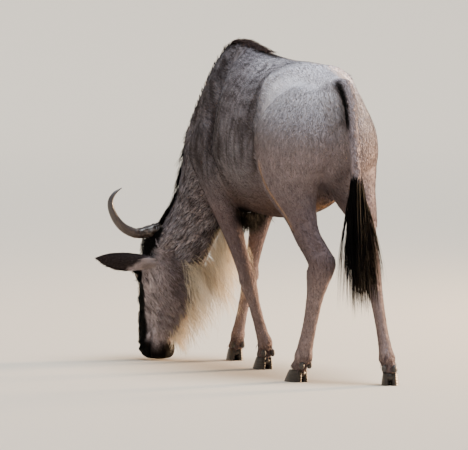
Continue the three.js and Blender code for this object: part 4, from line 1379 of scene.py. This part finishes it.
def add_long_hair(finish):
    black = (SOOT, SOOT)
    pale = (STRAW, CREAM)
    # Piece, guides, strands in a bundle, spread at the root and the tip, width, stations, colours
    pieces = [
        ("mane", crest_guides(NECK, 0.5, 4.9, 230, MANE_LENGTH, 0.2, 0.7, 0.14, 0.09),
         9, 11, 9, 2.2, 7, black),
        ("withers_hair", crest_guides(TRUNK, 1.6, 6.0, 170, WITHERS_HAIR, 0.5, 0.8, 0.22, 0.07),
         8, 12, 8, 2.0, 6, (BRINDLE, UMBER)),
        ("forelock", crest_guides(HEAD, 0.5, 2.6, 80, FORELOCK, 0.5, 0.6, 0.25, 0.5),
         9, 10, 8, 2.2, 6, black),
        ("face_brush", crest_guides(HEAD, 2.6, 9.4, 240, BRUSH_LENGTH, 0.5, 0.8, 0.24, 0.35),
         8, 9, 5, 1.9, 5, black),
        ("beard_neck", beard_guides(NECK, 2.4, 5.0, 380, (0, 0.5)), 3, 15, 20, 1.7, 9, pale),
        ("beard_jaw", beard_guides(HEAD, 3.0, 9.0, 380, (0.45, 1)), 3, 13, 17, 1.7, 9, pale),
        # Black locks under the chest: partly dark hair, partly a dark mass set into the shadow between the
        # forelegs.
        ("brisket_hair", beard_guides(TRUNK, 3.8, 5.0, 80, (0, 0), 0.16, 0.38),
         12, 14, 12, 2.2, 6, black),
    ]
    for name, *numbers in pieces:
        slot = "coat" if "beard" in name else "mane"
        add_hair(name, *numbers, finish, slot)
    ear_roots = ear_root_guides(100)
    add_hair("ear_root_hair", ear_roots, 6, 9, 8, 2.0, 5, (CHEEK, PALE_EAR), finish, "coat")
    add_hair("brow_hair", brow_guides(90), 6, 6, 6, 2.0, 5, black, finish, "mane")
    jaw = ruff_guides(420, (1.8, 8.4), 1.9, (22, 46), 0.9)
    throat = ruff_guides(150, (2.2, 6.4), 2.2, (30, 66), 0.45)
    add_hair("cheek_ruff", jaw, 7, 12, 12, 2.4, 6, (TAUPE, CHEEK), finish, "coat")
    add_hair("throat_ruff", throat, 7, 18, 14, 2.2, 7, (UMBER, TAUPE), finish, "coat")
    fetlocks = fetlock_guides(18)
    add_hair("fetlock_hair", fetlocks, 6, 6, 5, 1.5, 5, (UMBER, LEG_BROWN), finish, "mane")
    tuft = add_hair("tail_hair", tail_guides(130), 14, 12, 10, 2.6, 10, black, finish, "mane")
    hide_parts("tail_tuft")


# Ears, horns, hooves, dew claws and eyes

SIDES = ((1, "left"), (-1, "right"))

EAR_RINGS, EAR_SIDES = 40, 28


def ear_axis(sign):
    """Root and tip of an ear, and the way from one to the other."""
    root, tip = (head_point(sign * left, *rest) for left, *rest in (EAR_ROOT, EAR_TIP))
    return root, tip, unit(tip - root)


def ear_grid(sign, rings=EAR_RINGS, sides=EAR_SIDES):
    """A leaf bent to a gutter: each ring is a thin crescent, its edges towards the opening, and the
    gutter closes to a tube at the root."""
    root, tip, axis = ear_axis(sign)
    opening = unit(FACE - LEFT * sign)
    opening = unit(opening - axis * np.dot(opening, axis))
    wide_way = unit(np.cross(axis, opening)) * sign
    table = np.array(EAR_TABLE, float)
    share = np.linspace(0, 1, rings)
    half = np.interp(share, table[:, 0], table[:, 1])
    half = np.convolve(np.pad(half, 2, "edge"), np.ones(5) / 5, "valid") * (1 - 0.9 * share**14)
    angle = np.arange(sides) * 2 * math.pi / sides
    c, s = np.cos(angle), np.sin(angle)
    cup = 17 * np.sin(math.pi * np.clip(share * 0.9 + 0.12, 0, 1)) ** 0.6
    thick = 5.2 * (1 - 0.55 * share)
    x = half[:, None] * (c + 0.32 * c * c - 0.16) - (10 * share**2)[:, None]
    y = cup[:, None] * (c**2 - 0.72) + thick[:, None] * 0.5 * s * (0.35 + 0.65 * np.abs(s))
    centre = root + np.outer(share, tip - root) - np.outer(16 * np.sin(math.pi * share), opening)
    grid = centre[:, None] + x[:, :, None] * wide_way + y[:, :, None] * opening
    return grid.reshape(-1, 3), s, share


def add_ears(finish):
    """Both ears: dark outside, a pale band that runs out along the lower edge, greyish inside, and
    short fur all over, longer at the root and on the edges."""
    rings, sides = EAR_RINGS, EAR_SIDES
    for sign, side in SIDES:
        grid, s, share = ear_grid(sign)
        tube = closed_tube(grid, sides)
        obj = add_tube(f"ear_skin_{side}", tube, rings, sides)
        t = np.append(np.repeat(share, sides), [0, 1])
        c = np.cos(np.arange(sides) * 2 * math.pi / sides)
        low_edge = np.append(np.tile(c, rings), [0, 0])
        inner = np.append(np.tile(s > 0.2, rings), [False, False])
        colour = np.tile(linear(EAR_BROWN), (len(tube), 1))
        colour = mixed(colour, HORN_TIP, 0.5 * inner)
        pale = smooth_step(low_edge + 0.7 - 3.4 * t + 0.2 * STREAK(tube * 0.6), -0.2, 0.3) * 0.85
        colour = mixed(colour, CHEEK, pale)
        colour = mixed(colour, SOOT, smooth_step(np.abs(low_edge), 0.8, 0.97) * (1 - pale))
        paint(obj.data, colour)
        finish_piece(obj, finish, "coat", f"ear_{side}")
        add_ear_fur(obj, sign, side, t, low_edge, colour, finish)


def add_ear_fur(obj, sign, side, t, low_edge, colour, finish):
    """Short strands towards the ear's tip, which swing off the lower edge near the root."""
    points, normals = mesh_points(obj.data), mesh_normals(obj.data)
    edge = np.abs(low_edge) ** 6
    size = 9 + 16 * smooth_step(t, 0.3, 0.02) + 7 * edge * smooth_step(t, 1, 0.5)
    corners, weights = scatter(obj.data, 2.2 / (size * 2.4) * smooth_step(t, 1.0, 0.9))

    def at(values):
        return (values.reshape(len(points), -1)[corners] * weights[:, :, None]).sum(1)

    root, out, length = at(points), unit(at(normals)), at(size)
    count = len(root)
    length = length * rng.uniform(0.7, 1.2, (count, 1))
    _, _, axis = ear_axis(sign)
    way = axis + DOWN * 0.25 * at(np.maximum(low_edge, 0)) + rng.normal(0, 0.16, (count, 3))
    way = unit(way - out * dots(way, out) * 0.85)
    bend = root + way * length * 0.5 + out * 1.6
    tip = root + way * length + out * 0.8
    width = rng.uniform(1.6, 2.8, count)
    strands = strand_points(root - out * 1.2, bend, tip, np.cross(out, way), width, width * 0.3, 3)
    tint = at(colour) * np.exp(rng.normal(0, 0.45, (count, 1)))
    uv = bake_places(Places(root))
    add_strands(f"ear_fur_{side}", strands, tint * 0.85, tint * 1.2, uv, finish, "coat")


def brow_guides(count):
    """Black lashes and brow on the rear and upper half of each socket, out over the eye."""
    roots, bends, tips, outs = [], [], [], []
    for sign in (1, -1):
        centre, _, _, outward = eye_frame(sign)
        turn = rng.uniform(-0.9, 2.2, (count, 1))
        ring = -FACE * np.cos(turn) - DOWN * np.sin(turn)
        level, rise = rng.uniform(17, 27, (count, 1)), rng.uniform(10, 16, (count, 1))
        start = centre + ring * level + outward * rise
        roots.append(start)
        bends.append(start + outward * 9 + DOWN * 3)
        length, droop = rng.uniform(10, 22, (count, 1)), rng.uniform(6, 18, (count, 1))
        tips.append(start + outward * length + DOWN * droop - ring * 5)
        outs.append(np.tile(outward, (count, 1)))
    root, bend, tip, out = (np.vstack(part) for part in (roots, bends, tips, outs))
    return Guides(root, bend, tip, out, np.tile(DOWN, (len(root), 1)))


def ear_root_guides(count):
    """Pale locks from the head round the ears' roots, along the ears and over their lower half."""
    roots, tips, outs = [], [], []
    for sign in (1, -1):
        start, _, axis = ear_axis(sign)
        away = unit(LEFT * sign - FACE * 0.8)
        away = unit(away - axis * np.dot(away, axis))
        lower = np.cross(axis, away)
        lower = lower * np.sign(lower @ DOWN)
        angle = rng.uniform(-0.5, 1.9, count)[:, None]
        reach = rng.uniform(14, 30, (count, 1))
        back_up = rng.uniform(-34, 22, (count, 1))
        out = away * np.cos(angle) + lower * np.sin(angle)
        roots.append(start + out * reach + axis * back_up)
        length, droop = rng.uniform(22, 50, (count, 1)), rng.uniform(0, 9, (count, 1))
        tips.append(roots[-1] + axis * length + lower * droop)
        outs.append(out)
    root, tip, out = np.vstack(roots), np.vstack(tips), np.vstack(outs)
    along = unit(tip - root)
    return Guides(root, (root + tip) / 2 + out * 7, tip, unit(out - along * dots(out, along)), along)


def finish_piece(obj, finish, slot, *nodes):
    """Smooth shading, outward normals, a material, and its place in the frame."""
    work = bmesh.new()
    work.from_mesh(obj.data)
    bmesh.ops.recalc_face_normals(work, faces=work.faces)
    work.to_mesh(obj.data)
    work.free()
    smooth_shaded(obj.data)
    settle(obj, finish, slot, *nodes)


def add_horns(finish):
    """A round horn with rough rings near its root that fade to a smooth tip."""
    rings, sides = 220, 40
    for sign, side in SIDES:
        rows = [[*head_point(sign * left, face, -up), r, r, r] for left, face, up, r in HORN_TABLE]
        loft = Loft("horn", rows, FACE)
        t = np.repeat(np.linspace(0, loft.last, rings), sides)
        angle = np.tile(np.arange(sides) * 2 * math.pi / sides, rings)
        rough = smooth_step(t, 4.2, 1.2) * (1 + 1.6 * smooth_step(t, 1.6, 0.6))
        wave = np.sin(t * 11 + 1.3 * np.sin(angle * 2) + 0.8 * np.sin(angle * 3 + t))
        grow = rough * (0.7 * wave + 0.6 * np.sin(angle * 7 + t * 3)) - 0.4
        level = loft.points(t, angle)
        grid = level + unit(level - spline(loft.rows, t)[:, :3]) * grow[:, None]
        tube = closed_tube(grid, sides)
        obj = add_tube(f"horn_sheath_{side}", tube, rings, sides)
        share = np.append(t, [0, loft.last]) / loft.last
        grooves = np.append(rough * wave, [0, 0])
        colour = np.tile(linear(HORN_GREY), (len(tube), 1))
        base = smooth_step(share, 0.36, 0.16)
        colour = mixed(colour, HORN_BROWN, np.maximum(np.clip(-grooves, 0, 1) * 0.6, base * 0.95))
        lumps = smooth_step(GRAIN(tube * 1.4), 0.1, 0.8)
        colour = mixed(colour, BOSS_GREY, base * lumps * 0.4)
        colour = mixed(colour, HORN_TIP, smooth_step(share, 0.5, 0.95) * 0.8)
        paint(obj.data, colour)
        finish_piece(obj, finish, "horn", f"horn_{side}")


CORONET_Z = 46
CLAW_Z = 63
HOOF = {"length": 86, "half": 16, "cleft": 3}
HOOF_RINGS = [
    [0, 1, 1],
    [0.08, 0.995, 1],
    [0.35, 0.93, 0.97],
    [0.75, 0.8, 0.9],
    [0.98, 0.7, 0.84],
]


def toe_grid(centre, ahead, outward, rings=36, sides=48):
    """One toe: level rings of a leaf outline, pointed ahead, that shrink and lean back upwards, with
    faint growth lines."""
    across = np.cross(UP, ahead) * outward
    height, long, wide = spline(np.array(HOOF_RINGS, float), np.linspace(0, 4, rings)).T
    height = np.maximum.accumulate(np.clip(height, 0, None))
    angle = np.arange(sides) * 2 * math.pi / sides
    c, s = np.cos(angle), np.sin(angle)
    line = 0.35 * np.sin(height * 30) * (height > 0.06)
    reach = c * (HOOF["length"] / 2 * long + line)[:, None] - (height * 12)[:, None]
    taper = 1 - 0.42 * np.maximum(0, c) ** 2
    aside = s * (HOOF["half"] * wide + line)[:, None] * taper
    aside += HOOF["half"] * 0.92 + HOOF["cleft"] / 2 - (height * 3)[:, None]
    level = centre + reach[:, :, None] * ahead + aside[:, :, None] * across
    level[:, :, 2] = (height * CORONET_Z)[:, None]
    return level.reshape(-1, 3), rings, sides


def add_hooves(finish, claw_finish):
    for leg in LEGS:
        pair, side = leg.split("_")
        ahead = toe_direction(leg)
        low_joint, high_joint = (np.array(JOINTS[leg][i], float) for i in (-1, -2))
        centre = low_joint * [1, 1, 0] + ahead * 12
        shells = [toe_grid(centre, ahead, outward) for outward in (1, -1)]
        axes = np.array([ahead, np.cross(UP, ahead), UP])
        bulb = ellipsoid_shell(centre - ahead * 16 + UP * 33, (29, 26, 19), axes)
        whole, faces = joined_tubes([*shells, (bulb, BALL_RINGS, BALL_SIDES)])
        whole[:, 2] = np.minimum(whole[:, 2], CORONET_Z + 3)
        obj = make_object(f"hoof_{leg}", whole, faces)
        paint(obj.data, np.tile(linear(HOOF_BLACK), (len(whole), 1)))
        finish_piece(obj, finish, "hoof", f"{pair}_hoof_{side}")
        share = (CLAW_Z - low_joint[2]) / (high_joint[2] - low_joint[2])
        fetlock = low_joint + (high_joint - low_joint) * share - ahead * 32
        for outward, word in ((1, "outer"), (-1, "inner")):
            claw = ellipsoid_shell(fetlock + np.cross(UP, ahead) * outward * 19, (11, 9, 14), axes)
            tube = closed_tube(claw, BALL_SIDES)
            obj = add_tube(f"dewclaw_{leg}_{word}", tube, BALL_RINGS, BALL_SIDES)
            paint(obj.data, np.tile(linear(CLAW_GREY), (len(obj.data.vertices), 1)))
            finish_piece(obj, claw_finish, "hoof", f"{pair}_dewclaw_{side}_{word}")


def add_eyes(finish):
    """A dark ball with a brown iris and a long level pupil, painted by the place on the ball."""
    rings, sides = 40, 48
    r = EYE["radius"]
    for sign, side in SIDES:
        centre, *axes = eye_frame(sign)
        along, across, _ = axes
        ball = closed_tube(ellipsoid_shell(centre, (r, r, r), axes, rings, sides), sides)
        obj = add_tube(f"eyeball_{side}", ball, rings, sides)
        rel = (ball - centre) / r
        u, v = rel @ along, rel @ across
        colour = np.tile(linear(EYE_BROWN), (len(ball), 1))
        colour = mixed(colour, SOOT, smooth_step(np.hypot(u, v), 0.5, 0.72))
        colour = mixed(colour, PUPIL_BLACK, smooth_step(np.hypot(u / 0.42, v / 0.2), 1.15, 0.9))
        paint(obj.data, colour)
        finish_piece(obj, finish, "eye", f"eye_{side}")


# Finishes

def painted_finish(
    name, roughness, bump_size, bump_depth, stretch=(1, 1, 1), gloss=0.5, coat=0.0, spots=0.12
):
    """The piece's painted colour, varied a little by noise, with a fine bump."""
    material = bpy.data.materials.new(name)
    material.use_nodes = True
    nodes, links = material.node_tree.nodes, material.node_tree.links
    shader = nodes["Principled BSDF"]
    shader.inputs["Roughness"].default_value = roughness
    shader.inputs["Specular IOR Level"].default_value = gloss
    shader.inputs["Coat Weight"].default_value = coat
    shader.inputs["Coat Roughness"].default_value = 0.08
    painted = nodes.new("ShaderNodeAttribute")
    painted.attribute_name = "coat_colour"
    where = nodes.new("ShaderNodeTexCoord")
    mapping = nodes.new("ShaderNodeMapping")
    mapping.inputs["Scale"].default_value = stretch
    links.new(where.outputs["Object"], mapping.inputs["Vector"])
    noise = nodes.new("ShaderNodeTexNoise")
    noise.inputs["Scale"].default_value = 1 / (bump_size * MM)
    noise.inputs["Detail"].default_value = 3
    links.new(mapping.outputs["Vector"], noise.inputs["Vector"])
    level = nodes.new("ShaderNodeMapRange")
    level.inputs["To Min"].default_value = 1 - spots
    level.inputs["To Max"].default_value = 1 + spots
    links.new(noise.outputs["Fac"], level.inputs["Value"])
    tint = nodes.new("ShaderNodeVectorMath")
    tint.operation = "SCALE"
    links.new(painted.outputs["Color"], tint.inputs[0])
    links.new(level.outputs["Result"], tint.inputs["Scale"])
    links.new(tint.outputs["Vector"], shader.inputs["Base Color"])
    bump = nodes.new("ShaderNodeBump")
    bump.inputs["Strength"].default_value = 0.6
    bump.inputs["Distance"].default_value = bump_depth * MM
    links.new(noise.outputs["Fac"], bump.inputs["Height"])
    links.new(bump.outputs["Normal"], shader.inputs["Normal"])
    return material


# Camera, light and floor

PHOTO = {"width": 468, "height": 450}
TARGET_PIXEL = (297, 213.5)  # where the point TARGET shows
TARGET = np.array([0.0, 0, 600])
AZIMUTH = 69
ELEVATION = 2.8
DISTANCE = 20000.0
SCALE = 0.268  # pixels for each millimetre at the target
SENSOR = 36.0
FLOOR_REACH = 24.0  # metres of level floor, which then sweeps up into a wall all round
SWEEP = 8.0
WALL_TOP = 22.0
FLOOR_SIDES = 96
SWEEP_STEPS = 12
RIM = {"size": 1.9, "power": 3300, "colour": (1, 0.66, 0.38)}
SUN = {"power": 4.9, "softness": 36, "colour": (0.97, 0.985, 1)}
GLOW = 0.3


def add_camera():
    """Looks along the photo's direction, moved aside so that the target lies on its pixel."""
    a, e = math.radians(AZIMUTH), math.radians(ELEVATION)
    back = np.array([math.sin(a) * math.cos(e), -math.cos(a) * math.cos(e), math.sin(e)])
    right = np.array([math.cos(a), math.sin(a), 0])
    above = np.cross(back, right)
    offset_right = (PHOTO["width"] / 2 - TARGET_PIXEL[0]) / SCALE
    offset_up = (TARGET_PIXEL[1] - PHOTO["height"] / 2) / SCALE
    eye = TARGET + right * offset_right + above * offset_up + back * DISTANCE
    camera = bpy.data.cameras.new("camera")
    camera.sensor_fit = "HORIZONTAL"
    camera.sensor_width = SENSOR
    camera.lens = SENSOR * SCALE * DISTANCE / PHOTO["width"]
    camera.clip_end = 200
    obj = linked("camera", camera)
    columns = np.eye(4)
    columns[:3, 0], columns[:3, 1], columns[:3, 2] = right, above, back
    columns[:3, 3] = place(eye)
    obj.matrix_world = Matrix(columns.tolist())
    bpy.context.scene.camera = obj
    return right, back


def add_area_light(name, centre, aim, size, power, colour):
    """A square lamp that faces a point."""
    lamp = bpy.data.lights.new(name, "AREA")
    lamp.size = size
    lamp.energy = power
    lamp.color = colour
    obj = linked(name, lamp)
    obj.location = centre
    way = Vector(aim) - Vector(centre)
    obj.rotation_euler = way.to_track_quat("-Z", "Y").to_euler()


def add_sun(name, towards, power, softness, colour):
    """Parallel light from a wide disc of sky, which lies towards a direction."""
    lamp = bpy.data.lights.new(name, "SUN")
    lamp.energy = power
    lamp.angle = math.radians(softness)
    lamp.color = colour
    obj = linked(name, lamp)
    obj.rotation_euler = Vector(-towards).to_track_quat("-Z", "Y").to_euler()


def add_studio():
    """A pale floor, a pale surrounding glow, a broad light from above and a rim lamp."""
    right, back = add_camera()
    middle = np.array([0, 0, 0.7])
    rim = middle + right * 6.6 - back * 3.6 + UP * 0.3
    add_area_light("rim", rim, middle, RIM["size"], RIM["power"], RIM["colour"])
    towards = right * 0.35 + back * 0.28 + UP * 1.2
    add_sun("sky", towards, SUN["power"], SUN["softness"], SUN["colour"])
    world = bpy.data.worlds.new("studio")
    world.use_nodes = True
    glow = world.node_tree.nodes["Background"]
    glow.inputs["Color"].default_value = (*linear(SKY), 1)
    glow.inputs["Strength"].default_value = GLOW
    bpy.context.scene.world = world
    profile = [(0.02, 0), (8, 0), (16, 0), (FLOOR_REACH, 0)]
    for step in range(1, SWEEP_STEPS + 1):
        turn = math.pi / 2 * step / SWEEP_STEPS
        profile.append((FLOOR_REACH + SWEEP * math.sin(turn), SWEEP * (1 - math.cos(turn))))
    profile.append((FLOOR_REACH + SWEEP, WALL_TOP))
    angle = np.arange(FLOOR_SIDES) * 2 * math.pi / FLOOR_SIDES
    rings = np.array([[(r * math.cos(a), r * math.sin(a), z) for a in angle] for r, z in profile])
    sides = tube_faces(len(profile), FLOOR_SIDES)[: (len(profile) - 1) * FLOOR_SIDES]
    hub = [list(range(FLOOR_SIDES))[::-1]]
    floor = make_object("floor", unplace(rings.reshape(-1, 3)), sides + hub)
    smooth_shaded(floor.data)
    floor.data.materials.append(plain_material("floor_finish", STUDIO, 0.85))


def plain_material(name, colour, roughness):
    material = bpy.data.materials.new(name)
    material.use_nodes = True
    shader = material.node_tree.nodes["Principled BSDF"]
    shader.inputs["Base Color"].default_value = (*linear(colour), 1)
    shader.inputs["Roughness"].default_value = roughness
    return material


def add_skin(mesh, places, finish):
    """The one skin, painted with the same markings as the coat."""
    paint(mesh, markings(places) * SKIN_SHADE)
    smooth_shaded(mesh)
    settle(linked("skin", mesh), finish, "coat", *FLESH_NODES)


fur = painted_finish("short_fur", 0.8, 2.2, 0.8, gloss=0.08)
long_fur = painted_finish("long_hair", 0.6, 3.0, 0.3, gloss=0.05)
sheath = painted_finish("horn_sheath", 0.38, 3.5, 0.5, coat=0.15, spots=0.2)
claw = painted_finish("hoof_horn", 0.45, 3.0, 0.4, (1, 1, 6), spots=0.25)
dewclaw_horn = painted_finish("dewclaw_horn", 0.55, 4.0, 0.5, spots=0.25)
wet = painted_finish("wet_eye", 0.06, 5.0, 0.0, coat=1.0, spots=0.05)

skin = skin_mesh()
fields = vertex_fields(skin)
add_skin(skin, fields[2], fur)
grow_coat(skin, fields, fur)
add_long_hair(long_fur)
add_ears(fur)
add_horns(sheath)
add_hooves(claw, dewclaw_horn)
add_eyes(wet)
add_studio()
